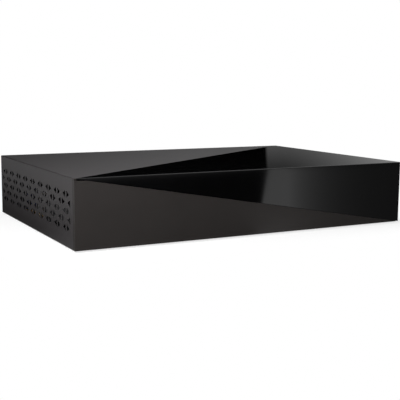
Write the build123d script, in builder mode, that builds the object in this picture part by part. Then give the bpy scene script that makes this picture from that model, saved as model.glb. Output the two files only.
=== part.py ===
"""A digital video recorder: a low steel and plastic case with a folded gloss fascia, boards, drive and fan.

Everything is in millimetres. X runs to the right as seen from the front, Y to the rear and Z up.
The origin is on the table, under the middle of the whole object, rear jacks included.
"""

from build123d import *
import math
import os

os.makedirs("parts", exist_ok=True)

# Case
width = 400.0
depth = 265.0
body_height = 70.0
foot_drop = 2.0
jack_reach = 9.5
cover_gauge = 1.0
pan_gauge = 1.0
panel_gauge = 1.0
slip = 0.2
seam = 0.35
cover_bend = 1.0
fascia_wall = 2.5
fascia_edge = 0.9
bezel_wall = 2.5
bezel_shelf = 16.0
bezel_lip_depth = 8.0
bezel_lip_wall = 1.8
bezel_rib = 1.2
bezel_rib_pitch = 60.0
rear_flange_drop = 9.5
rear_flange_inset = 12.0
cover_screw_drop = 5.7

# Side vents: pairs of triangles that point away from each other, in rows that step by half a pitch
vent_rows = 5
vent_cells = 9
vent_pitch = 27.5
vent_row_pitch = 8.3
vent_last_from_rear = 20.0
vent_middle_below_top = 34.2
vent_web = 4.6
vent_length = 6.4
vent_height = 5.8

# Tabs that hold the fascia
tab_width = 9.0
tab_thickness = 2.0
tab_reach = 4.0
tab_edge = 14.0

# Base pan and its fixings
pan_flange = 14.0
front_flange_height = 20.0
clip_width = 12.0
clip_thickness = 1.6
clip_barb = 1.2
clip_barb_length = 3.0
clip_height = 11.0
foot_sides = 16
foot_radius = 9.0
foot_toe_radius = 8.0
foot_inset_x = 42.0
foot_inset_y = 34.0
standoff_height = 6.0
standoff_radius = 3.5
standoff_stub_radius = 2.6
boss_radius = 3.5
screw_sides = 6
screw_radius = 1.5
screw_slip = 0.08
screw_clearance = 0.4
screw_head_radius = 3.0
screw_head_height = 1.8
screw_length = 6.0
floor_slot_length = 34.0
floor_slot_width = 3.2
floor_slot_pitch_x = 42.0
floor_slot_pitch_y = 9.0
floor_slot_columns = 3
floor_slot_rows = 5

# Main board
board_thickness = 1.6
board_left_share = 0.45
board_right_gap = 7.0
board_front_gap = 59.0
board_rear_gap = 3.0
board_hole_inset = 6.0
chip_side = 27.0
chip_height = 2.2
chip_right_gap = 100.0
chip_front_gap = 70.0
memory_size = (9.0, 13.0, 1.2)
memory_pitch = 15.0
memory_count = 4
sink_side = 58.0
sink_base = 4.0
sink_fin_height = 16.0
sink_fin = 1.2
sink_fins = 11
capacitor_sides = 12
capacitor_radius = 5.0
capacitor_height = 16.0
capacitor_pitch = 14.0
capacitor_count = 3
capacitor_front_gap = 30.0
capacitor_left_gap = 56.0

# Rear jacks. Each group keeps its own share of the panel's width, left to right as seen from the front
coax_share = 0.9
coax_pitch = 25.0
rca_share = 0.77
rca_pitch = 14.0
hdmi_share = 0.675
optical_share = 0.625
ethernet_share = 0.57
usb_share = 0.515
reset_share = 0.475
fan_share = 0.355
switch_share = 0.19
inlet_share = 0.1
socket_slip = 0.25
jack_sides = 12
coax_radius = 4.7
coax_wall = 1.4
coax_height = 10.0
coax_nut_radius = 6.6
coax_nut_height = 2.0
coax_bore_depth = 9.0
coax_core_recess = 1.0
tuner_width = 46.0
tuner_depth = 60.0
tuner_height = 19.0
tuner_vent = 4.0
tuner_vent_pitch = 11.0
rca_low = 8.5
rca_row_pitch = 14.0
rca_radius = 4.15
rca_wall = 0.6
rca_reach = 8.5
rca_root = 3.0
rca_core_recess = 0.6
rca_collar_radius = 5.6
rca_collar_reach = 2.2
rca_margin = 7.0
rca_depth = 13.0
core_sides = 8
hdmi_width = 15.0
hdmi_height = 6.2
hdmi_taper = 2.2
hdmi_depth = 12.0
shell_wall = 0.5
shell_proud = 0.4
tongue_recess = 1.0
hdmi_tongue = (11.0, 1.6)
optical_width = 10.4
optical_height = 11.4
optical_depth = 14.0
optical_wall = 1.2
optical_port = 6.6
shutter_thickness = 0.9
shutter_lap = 0.35
shutter_gap = 0.25
shutter_pin = 0.5
ethernet_width = 16.0
ethernet_height = 13.6
ethernet_depth = 17.0
ethernet_port = (11.8, 7.4)
ethernet_port_depth = 12.5
ethernet_key = (5.6, 2.4)
ethernet_contacts = 8
ethernet_contact_pitch = 1.1
ethernet_contact = (0.5, 1.0)
usb_width = 13.4
usb_port_height = 5.2
usb_pitch = 8.0
usb_count = 2
usb_depth = 14.0
usb_tongue = (11.2, 1.8)
reset_height = 5.0
reset_hole_sides = 8
reset_radius = 1.7
reset_travel = 1.0
reset_proud = 0.8
reset_body = 6.4
reset_body_depth = 5.0

# Power inlet and rocker switch
power_height = 32.0
inlet_width = 20.0
inlet_tall = 12.0
inlet_flange = 4.0
inlet_flange_thickness = 1.6
inlet_corner = 2.4
inlet_depth = 18.0
inlet_cavity_depth = 13.0
inlet_lobe_radius = 4.0
inlet_lobe_pitch = 8.6
inlet_lobe_sides = 12
inlet_waist = 5.6
inlet_pin_radius = 1.2
inlet_pin_sides = 8
inlet_pin_recess = 2.6
tab_size = (0.8, 4.8)
tab_length = 7.0
switch_width = 13.0
switch_tall = 19.0
switch_depth = 15.0
switch_flange = 1.8
switch_flange_thickness = 1.6
switch_corner = 1.1
switch_wall = 1.2
switch_cavity_depth = 13.0
switch_tab_pitch = 9.5
rocker_tilt = 8.0
rocker_radius = 8.0
rocker_pivot_depth = 4.0
rocker_valley = 3.2
rocker_crest = 5.6
rocker_back = 2.0
rocker_gap = 0.4
rocker_pin_radius = 1.0
rocker_pin_length = 0.8
running_slip = 0.05

# Fan
fan_headroom = 10.0
fan_bore_sides = 32
fan_corner = 3.0
fan_depth = 15.0
fan_lift = 1.0
fan_bore_wall = 1.4
fan_hole_inset = 5.0
fan_hub_radius = 14.0
fan_hub_sides = 24
fan_end_gap = 0.8
fan_tip_gap = 1.7
fan_blades = 7
fan_blade_thickness = 1.0
fan_root_chord = 12.0
fan_tip_chord = 16.5
fan_pitch = 38.0
fan_strut = 3.0
fan_strut_sink = 1.0
fan_back = 2.4
fan_motor_radius = 14.0
fan_motor_sides = 12
fan_shaft_radius = 1.5
grille_edge = 1.5
grille_bar = 2.6
grille_pitch = 7.0
grille_rows = 7
fan_screw_length = 12.0

# Power supply
psu_left_gap = 9.0
psu_width = 90.0
psu_front_gap = 6.6
psu_rear_gap = 27.75
transformer_size = (28.0, 26.0, 24.0)
transformer_leg = 7.0
bulk_radius = 11.0
bulk_height = 30.0
bulk_left_gap = 18.0
bulk_rear_gap = 14.0
psu_sink_thickness = 3.0
psu_sink_fin = 1.5
psu_sink_height = 26.0
psu_sink_gap = 10.0
psu_sink_front_gap = 24.0
psu_sink_rear_gap = 5.0
psu_sink_fins = 4
output_height = 20.0
output_right_gap = 8.0
output_front_gap = 26.0

# Hard disk drive. Its length and width come from the disk, the arm and the magnets inside it
drive_side_gap = 10.8
drive_front_gap = 13.05
drive_height = 26.1
drive_lift = 5.0
drive_board_thickness = 1.4
drive_board_recess = 2.6
drive_floor = 3.6
drive_lid_gauge = 1.2
lid_screw_scale = 0.7
lid_screw_length = 5.0
lid_screw_inset = 3.6
drive_wall = 3.2
drive_side_wall = 2.3
bay_sides = 24
disk_sides = 48
disk_radius = 47.5
disk_thickness = 1.3
disk_bay_gap = 1.0
disk_lift = 5.6
hub_radius = 12.4
hub_flange_radius = 15.5
hub_flange = 1.2
hub_clamp = 1.6
hub_sides = 12
hub_bore_radius = 4.0
spindle_post_radius = 3.9
arm_hub_gap = 1.0
arm_offset = 8.0
arm_length = 50.0
arm_thickness = 0.8
arm_gap = 1.1
arm_root = 9.0
arm_tip = 3.0
arm_park_angle = 245.0
arm_hub_radius = 7.5
arm_hub_sides = 8
arm_end_gap = 0.6
arm_bore_radius = 4.0
arm_post_radius = 3.9
coil_inner = 16.0
coil_outer = 34.0
coil_half_angle = 22.0
coil_thickness = 2.4
coil_ring = 4.5
sector_steps = 4
magnet_gap = 1.2
magnet_inner = 13.0
magnet_outer = 36.0
magnet_wall_gap = 0.3
magnet_from = 8.0
magnet_to = 86.0
bracket_gauge = 1.0
bracket_gap = 2.8
bracket_wall_height = 20.0
bracket_end_gap = 6.0
drive_hole_spread = 101.6
drive_hole_height = 6.35
drive_hole_depth = 5.0
drive_screw_reach = 4.0
cradle_window = (36.0, 60.0)
cradle_window_pitch = 48.0
bracket_fixing_x = 30.0
bracket_fixing_y = 22.0
grommet_sides = 8
grommet_neck = 3.6
grommet_radius = 5.0
grommet_flange = 1.2

# Front electronics, behind the gloss half of the front
front_board_share = 0.645
front_board_length = 100.0
front_board_tall = 24.0
front_board_below_top = 16.0
front_board_set_back = 10.0
led_inset = 16.0
led_pitch = 10.0
led_count = 3
led_below_top = 28.0
led_side = 2.4
led_height = 1.2
guide_side = 3.0
guide_slip = 0.2
guide_bar = 1.0
ir_inset = 58.0
ir_size = (9.0, 7.0, 5.6)
ir_window = (12.0, 10.0)

# Cables that the case holds from end to end
cable_bend = 4.0
ribbon_width = 14.0
ribbon_from_left = 40.0
ribbon_above_edge = 8.0
drive_cable_from_rear = 36.0
drive_cable_inset = 36.0
harness_inset = 20.0
lead_rise = 8.0
ribbon_thickness = 0.9
drive_cable_width = 24.0
drive_cable_thickness = 1.9
drive_cable_rise = 18.0
harness_width = 12.0
harness_thickness = 2.2
harness_rise = 23.0
plug_height = 8.0
plug_thickness = 5.0
plug_margin = 2.0
lead_side = 2.4
lead_back = 7.0

# Places that follow from the sizes
x_left, x_right = -width / 2, width / 2
y_front = -(depth + jack_reach) / 2
y_rear = y_front + depth
jack_end = y_rear + jack_reach
z_base = foot_drop
z_top = z_base + body_height
pan_floor = z_base + pan_gauge
fascia_back = y_front + fascia_wall
bezel_back = fascia_back + bezel_wall
cover_front = bezel_back + seam
cover_inner_x = width / 2 - cover_gauge
inner_x = cover_inner_x - slip
panel_rear = y_rear - cover_gauge
panel_inside = panel_rear - panel_gauge
pan_front = y_front + bezel_shelf + slip
recess_floor = z_top - fascia_wall
low_ceiling = recess_floor - cover_gauge
high_ceiling = z_top - cover_gauge
board_under = pan_floor + standoff_height
board_top = board_under + board_thickness
board_left = x_left + width * board_left_share
board_right = inner_x - board_right_gap
board_front = pan_front + board_front_gap
board_rear = panel_inside - board_rear_gap
chip_x = board_right - chip_right_gap
chip_y = board_front + chip_front_gap
screw_hole = screw_radius + screw_slip
clear_hole = screw_radius + screw_clearance
beyond = 20.0

# Places along the rear panel
coax_middle = x_left + width * coax_share
coax_xs = (coax_middle + coax_pitch / 2, coax_middle - coax_pitch / 2)
rca_middle = x_left + width * rca_share
rca_xs = (rca_middle + rca_pitch, rca_middle, rca_middle - rca_pitch)
rca_heights = (rca_low, rca_low + rca_row_pitch)
hdmi_x = x_left + width * hdmi_share
optical_x = x_left + width * optical_share
ethernet_x = x_left + width * ethernet_share
usb_x = x_left + width * usb_share
reset_x = x_left + width * reset_share
fan_x = x_left + width * fan_share
switch_x = x_left + width * switch_share
inlet_x = x_left + width * inlet_share
power_z = pan_floor + power_height
fan_side = body_height - fan_headroom
fan_bore_radius = fan_side / 2 - fan_bore_wall
fan_spread = fan_side / 2 - fan_hole_inset
fan_z = pan_floor + fan_lift + fan_side / 2

# Drive and power supply. The drive's length and width come from what turns inside it
drive_pivot_reach = disk_radius + arm_hub_radius + arm_hub_gap
drive_left = -inner_x + drive_side_gap
drive_front = pan_front + drive_front_gap
drive_width = (disk_radius + disk_bay_gap + drive_side_wall) * 2
spindle_from_end = disk_radius + disk_bay_gap + drive_wall
drive_length = spindle_from_end + drive_pivot_reach + magnet_outer + magnet_wall_gap + drive_wall
drive_right = drive_left + drive_length
drive_rear = drive_front + drive_width
drive_middle_x = (drive_left + drive_right) / 2
drive_middle_y = (drive_front + drive_rear) / 2
drive_under = pan_floor + bracket_gauge + drive_lift
drive_top = drive_under + drive_height
drive_bay_floor = drive_under + drive_board_recess + drive_floor
drive_rim = drive_top - drive_lid_gauge
spindle = (drive_left + spindle_from_end, drive_middle_y)
pivot = (spindle[0] + drive_pivot_reach, spindle[1] + arm_offset)
drive_hole_z = drive_under + drive_hole_height
drive_hole_xs = (drive_middle_x - drive_hole_spread / 2, drive_middle_x + drive_hole_spread / 2)
cradle_front = drive_front - bracket_gap - bracket_gauge
cradle_rear = drive_rear + bracket_gap + bracket_gauge
psu_left = -inner_x + psu_left_gap
psu_right = psu_left + psu_width
psu_front = cradle_rear + psu_front_gap
psu_rear = panel_inside - psu_rear_gap

# Front electronics
front_board_left = x_left + width * front_board_share
front_board_right = front_board_left + front_board_length
front_board_y = bezel_back + front_board_set_back
front_board_high = z_top - front_board_below_top
front_board_low = front_board_high - front_board_tall
led_height_z = z_top - led_below_top
ir_x = front_board_left + ir_inset

# The two diagonals that part gloss from satin, and the corners on their gloss and satin sides
plan_line = ((x_left, y_front), (x_right, y_rear))
plan_gloss, plan_satin = (x_right, y_front), (x_left, y_rear)
face_line = ((x_left, z_top), (x_right, z_base))
face_gloss, face_matte = (x_right, z_top), (x_left, z_base)


def level(z):
    """The horizontal plane at height z."""
    return Plane.XY.offset(z)


def upright(y):
    """The plane across the case at y, facing the front: its own X and Y are the object's X and Z."""
    return Plane.XZ.offset(-y)


def sideways(x):
    """The plane along the case at x, facing right: its own X and Y are the object's Y and Z."""
    return Plane.YZ.offset(x)


def save(piece, label):
    """Names a finished piece and writes its file."""
    piece.part.label = label
    export_step(piece.part, f"parts/{label}.step")


def rect(low_u, high_u, low_v, high_v, mode=Mode.ADD):
    """A rectangle between two values each way on the sketch's own plane."""
    with Locations(((low_u + high_u) / 2, (low_v + high_v) / 2)):
        Rectangle(high_u - low_u, high_v - low_v, mode=mode)


def half(line, corner, shift=0.0, reach=0.0, mode=Mode.ADD):
    """The half of a face on the corner's side of a line, grown by shift across it and reach past its ends."""
    (ax, ay), (bx, by) = line
    length = math.hypot(bx - ax, by - ay)
    ux, uy = (bx - ax) / length, (by - ay) / length
    side = -1 if (corner[0] - ax) * -uy + (corner[1] - ay) * ux > 0 else 1
    nx, ny = -uy * side, ux * side
    start = (ax + nx * shift - ux * reach, ay + ny * shift - uy * reach)
    end = (bx + nx * shift + ux * reach, by + ny * shift + uy * reach)
    third = (end[0], start[1]) if corner == (bx, ay) else (start[0], end[1])
    with BuildLine() as outline:
        Polyline(start, end, third, close=True)
    make_face(outline.edges(), mode=mode)


def grow(inside, sides):
    """The outer radius of a regular outline that a circle of the given radius just fits inside."""
    return inside / math.cos(math.pi / sides)


def prisms(plane, places, radius, amount, sides=screw_sides, mode=Mode.ADD):
    """Prisms with a regular outline at places on a plane, along its normal by amount."""
    with BuildSketch(plane) as ends:
        with Locations(*places):
            RegularPolygon(radius, sides)
    extrude(ends.sketch, amount=amount, mode=mode)


def drill(plane, places, radius, amount, sides=screw_sides):
    """Prismatic holes at places on a plane, cut along its normal by amount."""
    prisms(plane, places, radius, amount, sides, Mode.SUBTRACT)


def tubes(plane, places, radius, bore, amount, sides):
    """Hollow prisms at places on a plane, along its normal by amount."""
    with BuildSketch(plane) as ends:
        with Locations(*places):
            RegularPolygon(radius, sides)
            RegularPolygon(bore, sides, mode=Mode.SUBTRACT)
    extrude(ends.sketch, amount=amount)


def rounds(plane, places, radius, amount, mode=Mode.ADD):
    """Round posts or holes, where something turns or a mate fits."""
    with BuildSketch(plane) as ends:
        with Locations(*places):
            Circle(radius)
    extrude(ends.sketch, amount=amount, mode=mode)


def blocks(plane, places, size, amount, mode=Mode.ADD):
    """Rectangular blocks or holes at places on a plane, along its normal by amount."""
    with BuildSketch(plane) as ends:
        with Locations(*places):
            Rectangle(*size)
    extrude(ends.sketch, amount=amount, mode=mode)


def screws(plane, places, out=1, length=screw_length, scale=1.0):
    """Screws with heads on a plane at places, on its outer side when out is 1, behind it when it is -1."""
    prisms(plane, places, screw_radius * scale, -length * out)
    prisms(plane, places, screw_head_radius * scale, screw_head_height * scale * out)


def clipped(centre, size, corner):
    """A rectangle with its corners cut off."""
    (x, y), half_w, half_h = centre, size[0] / 2, size[1] / 2
    with BuildLine() as outline:
        Polyline(
            (x - half_w + corner, y - half_h), (x + half_w - corner, y - half_h),
            (x + half_w, y - half_h + corner), (x + half_w, y + half_h - corner),
            (x + half_w - corner, y + half_h), (x - half_w + corner, y + half_h),
            (x - half_w, y + half_h - corner), (x - half_w, y - half_h + corner), close=True,
        )
    make_face(outline.edges())


# Fixing places that two or more pieces share
top_tabs = [
    (x_left + width * 0.55, y_front + tab_edge * 2),
    (x_right - tab_edge, y_front + tab_edge * 2),
    (x_right - tab_edge, y_front + depth * 0.62),
]
front_tabs = [
    (x_left + width * 0.5, z_top - tab_edge),
    (x_right - tab_edge, z_top - tab_edge),
    (x_right - tab_edge, z_top - body_height * 0.7),
]
tab_slot = (tab_width + slip * 2, tab_thickness + slip * 2)
clip_xs = [x_left + width * share for share in (0.12, 0.37, 0.62, 0.88)]
clip_low = z_base + clip_height
clip_high = clip_low + clip_thickness
cover_screw_places = [(x_left + width * share, z_top - cover_screw_drop) for share in (0.12, 0.5, 0.88)]
foot_places = [
    (sx * (width / 2 - foot_inset_x), (y_front + y_rear) / 2 + sy * (depth / 2 - foot_inset_y))
    for sx in (-1, 1)
    for sy in (-1, 1)
]
board_holes = [
    (x, y)
    for x in (board_left + board_hole_inset, board_right - board_hole_inset)
    for y in (board_front + board_hole_inset, board_rear - tuner_depth - board_hole_inset)
]
psu_holes = [
    (x, y)
    for x in (psu_left + board_hole_inset, psu_right - board_hole_inset)
    for y in (psu_front + board_hole_inset, psu_rear - board_hole_inset)
]
panel_fix_y = panel_inside - board_hole_inset
panel_fixings = [(x_left + width * share, panel_fix_y) for share in (0.06, 0.45, 0.965)]
front_board_holes = [
    (front_board_left + board_hole_inset, front_board_high - board_hole_inset),
    (front_board_right - board_hole_inset, front_board_high - board_hole_inset),
]
led_places = [(front_board_left + led_inset + step * led_pitch, led_height_z) for step in range(led_count)]
coax_places = [(x, board_top + coax_height) for x in coax_xs]
rca_places = [(x, board_top + z) for z in rca_heights for x in rca_xs]
fan_holes = [(fan_x + sx * fan_spread, fan_z + sz * fan_spread) for sx in (-1, 1) for sz in (-1, 1)]
lid_screw_places = [
    (x, y)
    for x in (drive_left + lid_screw_inset, drive_right - lid_screw_inset)
    for y in (drive_front + lid_screw_inset, drive_rear - lid_screw_inset)
]
bracket_fixings = [
    (x, y)
    for x in (drive_left + bracket_fixing_x, drive_right - bracket_fixing_x)
    for y in (drive_front + bracket_fixing_y, drive_rear - bracket_fixing_y)
]


# Satin steel cover: the top, both perforated sides and the flange folded down over the rear panel
def vents():
    """The triangles of one side, drawn on the plane along the case."""
    middle = (vent_rows - 1) / 2
    for row in range(vent_rows):
        v = z_top - vent_middle_below_top + (middle - row) * vent_row_pitch
        stepped = row % 2
        count = vent_cells + 1 if stepped else vent_cells
        for cell in range(count):
            u = y_rear - vent_last_from_rear - (cell - stepped / 2) * vent_pitch
            facing = [-1, 1]
            if stepped and cell == 0:
                facing = [-1]
            if stepped and cell == count - 1:
                facing = [1]
            for way in facing:
                base = u + way * vent_web / 2
                with BuildLine() as hole:
                    Polyline(
                        (base, v - vent_height / 2), (base + way * vent_length, v),
                        (base, v + vent_height / 2), close=True,
                    )
                make_face(hole.edges())


with BuildPart() as top_cover:
    with BuildSketch(upright(cover_front)):
        rect(x_left, x_right, z_base, z_top)
        fillet(vertices().group_by(Axis.Y)[-1], radius=cover_bend)
        rect(-cover_inner_x, cover_inner_x, z_base, low_ceiling, mode=Mode.SUBTRACT)
    extrude(amount=-(y_rear - cover_front))
    with BuildSketch(level(low_ceiling)):
        rect(-cover_inner_x, cover_inner_x, cover_front, panel_rear)
        half(plan_line, plan_gloss, shift=seam + cover_gauge, reach=beyond, mode=Mode.SUBTRACT)
    extrude(amount=high_ceiling - low_ceiling, mode=Mode.SUBTRACT)
    with BuildSketch(level(recess_floor)):
        half(plan_line, plan_gloss, shift=seam, reach=beyond)
    extrude(amount=fascia_wall + cover_gauge, mode=Mode.SUBTRACT)
    with BuildSketch(upright(panel_rear)):
        rect(x_left + rear_flange_inset, x_right - rear_flange_inset, z_top - rear_flange_drop, low_ceiling)
    extrude(amount=-cover_gauge)
    with BuildSketch(sideways(x_left)):
        vents()
    extrude(amount=width, mode=Mode.SUBTRACT)
    blocks(level(low_ceiling), top_tabs, tab_slot, cover_gauge, Mode.SUBTRACT)
    drill(upright(y_rear), cover_screw_places, clear_hole, cover_gauge)
save(top_cover, "top_cover")

# Gloss fascia: one folded moulding with a facet on the top and a facet on the front
with BuildPart() as gloss_fascia:
    with BuildSketch(level(recess_floor)):
        half(plan_line, plan_gloss)
    extrude(amount=fascia_wall)
    with BuildSketch(upright(y_front)):
        half(face_line, face_gloss)
    extrude(amount=-fascia_wall)
    with BuildSketch(upright(y_front)):
        half(face_line, face_matte, reach=beyond)
    extrude(amount=-fascia_wall, mode=Mode.SUBTRACT)
    with BuildSketch(level(recess_floor)):
        half(plan_line, plan_satin, reach=beyond)
    extrude(amount=fascia_wall, mode=Mode.SUBTRACT)
    with BuildSketch(sideways(x_left)):
        rect(y_front, y_front + fascia_edge, z_top - fascia_edge, z_top)
        with Locations((y_front + fascia_edge, z_top - fascia_edge)):
            Circle(fascia_edge, mode=Mode.SUBTRACT)
    extrude(amount=width, mode=Mode.SUBTRACT)
    blocks(level(recess_floor), top_tabs, (tab_width, tab_thickness), -(cover_gauge + tab_reach))
    blocks(upright(fascia_back), front_tabs, (tab_width, tab_thickness), -(bezel_wall + tab_reach))
save(gloss_fascia, "gloss_fascia")

# Matte front bezel: the lower left facet, the seat of the fascia, a lip inside the cover and a bottom shelf
with BuildPart() as front_bezel:
    with BuildSketch(upright(y_front)):
        rect(x_left, x_right, z_base, z_top)
    extrude(amount=-(bezel_back - y_front))
    with BuildSketch(upright(y_front)):
        half(face_line, face_gloss, shift=seam, reach=beyond)
    extrude(amount=-fascia_wall, mode=Mode.SUBTRACT)
    with BuildSketch(level(recess_floor)):
        half(plan_line, plan_gloss, shift=seam, reach=beyond)
    extrude(amount=fascia_wall, mode=Mode.SUBTRACT)
    with BuildSketch(upright(fascia_back)):
        rect(x_left + bezel_wall, x_right - bezel_wall, z_base + bezel_wall, low_ceiling)
        half(face_line, face_matte, shift=-bezel_wall, reach=beyond, mode=Mode.INTERSECT)
        for step in range(1, int(width / bezel_rib_pitch)):
            rib = x_left + step * bezel_rib_pitch
            rect(rib - bezel_rib / 2, rib + bezel_rib / 2, z_base, z_top, mode=Mode.SUBTRACT)
    extrude(amount=-bezel_wall, mode=Mode.SUBTRACT)
    with BuildSketch(upright(bezel_back)):
        rect(-inner_x, inner_x, z_base, low_ceiling - slip)
        rect(
            -inner_x + bezel_lip_wall, inner_x - bezel_lip_wall, z_base + bezel_lip_wall,
            low_ceiling - slip - bezel_lip_wall, mode=Mode.SUBTRACT,
        )
    extrude(amount=-bezel_lip_depth)
    with BuildSketch(level(z_base)):
        rect(-inner_x, inner_x, bezel_back, y_front + bezel_shelf)
    extrude(amount=bezel_lip_wall)
    catch = pan_front + pan_gauge + slip
    with BuildSketch(sideways(0)) as barb:
        with BuildLine():
            Polyline(
                (bezel_back, clip_low), (catch + clip_barb_length, clip_low),
                (catch + clip_barb_length, clip_high), (catch, clip_high + clip_barb), (catch, clip_high),
                (bezel_back, clip_high), close=True,
            )
        make_face()
    for x in clip_xs:
        extrude(barb.sketch.moved(Location((x, 0, 0))), amount=clip_width / 2, both=True)
    prisms(upright(fascia_back), front_board_holes, boss_radius, -(front_board_y - fascia_back))
    drill(upright(front_board_y), front_board_holes, screw_hole, screw_length)
    blocks(upright(bezel_back), front_tabs, tab_slot, bezel_wall, Mode.SUBTRACT)
    blocks(upright(bezel_back), led_places, (guide_side + guide_slip * 2,) * 2, bezel_wall, Mode.SUBTRACT)
    blocks(upright(bezel_back), [(ir_x, led_height_z)], ir_window, bezel_wall, Mode.SUBTRACT)
save(front_bezel, "front_bezel")

# Steel base pan: a channel with a front flange, board standoffs and slots for air
with BuildPart() as base_pan:
    with BuildSketch(upright(pan_front)):
        rect(-inner_x, inner_x, z_base, z_base + pan_flange)
        rect(-inner_x + pan_gauge, inner_x - pan_gauge, pan_floor, z_base + pan_flange, mode=Mode.SUBTRACT)
    extrude(amount=-(panel_inside - slip - pan_front))
    with BuildSketch(upright(pan_front)):
        rect(-inner_x, inner_x, z_base, z_base + front_flange_height)
    extrude(amount=-pan_gauge)
    drill(level(z_base), board_holes + psu_holes, standoff_stub_radius, pan_gauge)
    drill(level(z_base), panel_fixings + bracket_fixings, screw_hole, pan_gauge)
    windows = [(x, (clip_low + clip_high) / 2) for x in clip_xs]
    window = (clip_width + slip * 2, clip_thickness + slip * 2)
    blocks(upright(pan_front), windows, window, -pan_gauge, Mode.SUBTRACT)
    with BuildSketch(level(z_base)):
        with Locations(((board_left + board_right) / 2, (board_front + board_rear - tuner_depth) / 2)):
            with GridLocations(floor_slot_pitch_x, floor_slot_pitch_y, floor_slot_columns, floor_slot_rows):
                Rectangle(floor_slot_length, floor_slot_width)
        with Locations(((psu_left + psu_right) / 2, (psu_front + psu_rear) / 2)):
            with GridLocations(1, floor_slot_pitch_y, 1, floor_slot_rows):
                Rectangle(floor_slot_length, floor_slot_width)
    extrude(amount=pan_gauge, mode=Mode.SUBTRACT)
save(base_pan, "base_pan")

# Threaded posts pressed into the pan, which carry the boards
with BuildPart() as board_standoffs:
    prisms(level(pan_floor), board_holes + psu_holes, standoff_radius, standoff_height)
    prisms(level(pan_floor), board_holes + psu_holes, standoff_stub_radius, -pan_gauge)
    drill(level(board_under), board_holes + psu_holes, screw_hole, -(standoff_height - pan_gauge))
save(board_standoffs, "board_standoffs")

with BuildPart() as rubber_feet:
    with BuildSketch(level(z_base)):
        with Locations(*foot_places):
            RegularPolygon(foot_radius, foot_sides)
    extrude(amount=-foot_drop, taper=math.degrees(math.atan2(foot_radius - foot_toe_radius, foot_drop)))
save(rubber_feet, "rubber_feet")


def d_outline(centre, size, taper, shrink=0.0, mode=Mode.ADD):
    """A socket mouth with its two lower corners cut off."""
    half_w, half_h = size[0] / 2 - shrink, size[1] / 2 - shrink
    x, z = centre
    with BuildLine() as outline:
        Polyline(
            (x - half_w, z + half_h), (x + half_w, z + half_h), (x + half_w, z - half_h + taper),
            (x + half_w - taper, z - half_h), (x - half_w + taper, z - half_h),
            (x - half_w, z - half_h + taper), close=True,
        )
    make_face(outline.edges(), mode=mode)


hdmi_place = (hdmi_x, board_top + hdmi_height / 2)
usb_height = usb_count * usb_pitch
usb_place = (usb_x, board_top + usb_height / 2)
usb_port_zs = [board_top + usb_pitch * (step + 0.5) for step in range(usb_count)]
optical_place = (optical_x, board_top + optical_height / 2)
ethernet_place = (ethernet_x, board_top + ethernet_height / 2)
reset_place = (reset_x, board_top + reset_height)

# Steel rear panel, with a cut-out for each socket and a slotted finger guard for the fan
square_cut_outs = (
    (optical_place, optical_width, optical_height), (ethernet_place, ethernet_width, ethernet_height),
    (usb_place, usb_width, usb_height), ((inlet_x, power_z), inlet_width, inlet_tall),
    ((switch_x, power_z), switch_width, switch_tall),
)
with BuildPart() as rear_panel:
    with BuildSketch(upright(panel_rear)):
        rect(-inner_x, inner_x, z_base, low_ceiling - slip)
        d_outline(hdmi_place, (hdmi_width, hdmi_height), hdmi_taper, -socket_slip, mode=Mode.SUBTRACT)
        for place, wide, tall in square_cut_outs:
            with Locations(place):
                Rectangle(wide + socket_slip * 2, tall + socket_slip * 2, mode=Mode.SUBTRACT)
    extrude(amount=panel_gauge)
    drill(upright(panel_rear), coax_places, coax_radius + socket_slip, panel_gauge, jack_sides)
    drill(upright(panel_rear), rca_places, rca_collar_radius + socket_slip, panel_gauge, jack_sides)
    reset_hole = grow(reset_radius + socket_slip, reset_hole_sides)
    drill(upright(panel_rear), [reset_place], reset_hole, panel_gauge, reset_hole_sides)
    drill(upright(panel_rear), fan_holes, clear_hole, panel_gauge)
    drill(upright(panel_rear), cover_screw_places, screw_hole, panel_gauge)
    slot_tall = grille_pitch - grille_bar
    with BuildSketch(upright(panel_rear)):
        for row in range(grille_rows):
            v = (row - (grille_rows - 1) / 2) * grille_pitch
            reach = math.sqrt((fan_bore_radius - grille_edge) ** 2 - (abs(v) + slot_tall / 2) ** 2)
            rect(fan_x - reach, fan_x - grille_bar / 2, fan_z + v - slot_tall / 2, fan_z + v + slot_tall / 2)
            rect(fan_x + grille_bar / 2, fan_x + reach, fan_z + v - slot_tall / 2, fan_z + v + slot_tall / 2)
    extrude(amount=panel_gauge, mode=Mode.SUBTRACT)
    with BuildSketch(level(pan_floor)):
        flange_x = inner_x - pan_gauge - slip
        rect(-flange_x, flange_x, panel_fix_y - board_hole_inset, panel_inside)
    extrude(amount=panel_gauge)
    drill(level(pan_floor), panel_fixings, clear_hole, panel_gauge)
save(rear_panel, "rear_panel")

# Tuner can stamped from tinplate, and the two threaded jacks that stand out of it
with BuildPart() as tuner_can:
    with BuildSketch(level(board_top)):
        rect(
            coax_middle - tuner_width / 2, coax_middle + tuner_width / 2,
            panel_inside - slip - tuner_depth, panel_inside - slip,
        )
    extrude(amount=tuner_height)
    with BuildSketch(level(board_top + tuner_height)):
        with Locations((coax_middle, panel_inside - tuner_depth / 2)):
            with GridLocations(tuner_vent_pitch, tuner_vent_pitch, 3, 3):
                Rectangle(tuner_vent, tuner_vent)
    extrude(amount=-tuner_vent / 4, mode=Mode.SUBTRACT)
save(tuner_can, "tuner_can")

nut_end = panel_rear + coax_nut_height
with BuildPart() as coax_jacks:
    prisms(upright(panel_inside - slip), coax_places, coax_radius, -(panel_gauge + slip), jack_sides)
    prisms(upright(panel_rear), coax_places, coax_nut_radius, -coax_nut_height)
    rounds(upright(nut_end), coax_places, coax_radius, -(jack_end - nut_end))
    drill(upright(jack_end), coax_places, coax_radius - coax_wall, coax_bore_depth, jack_sides)
save(coax_jacks, "coax_jacks")

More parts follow.
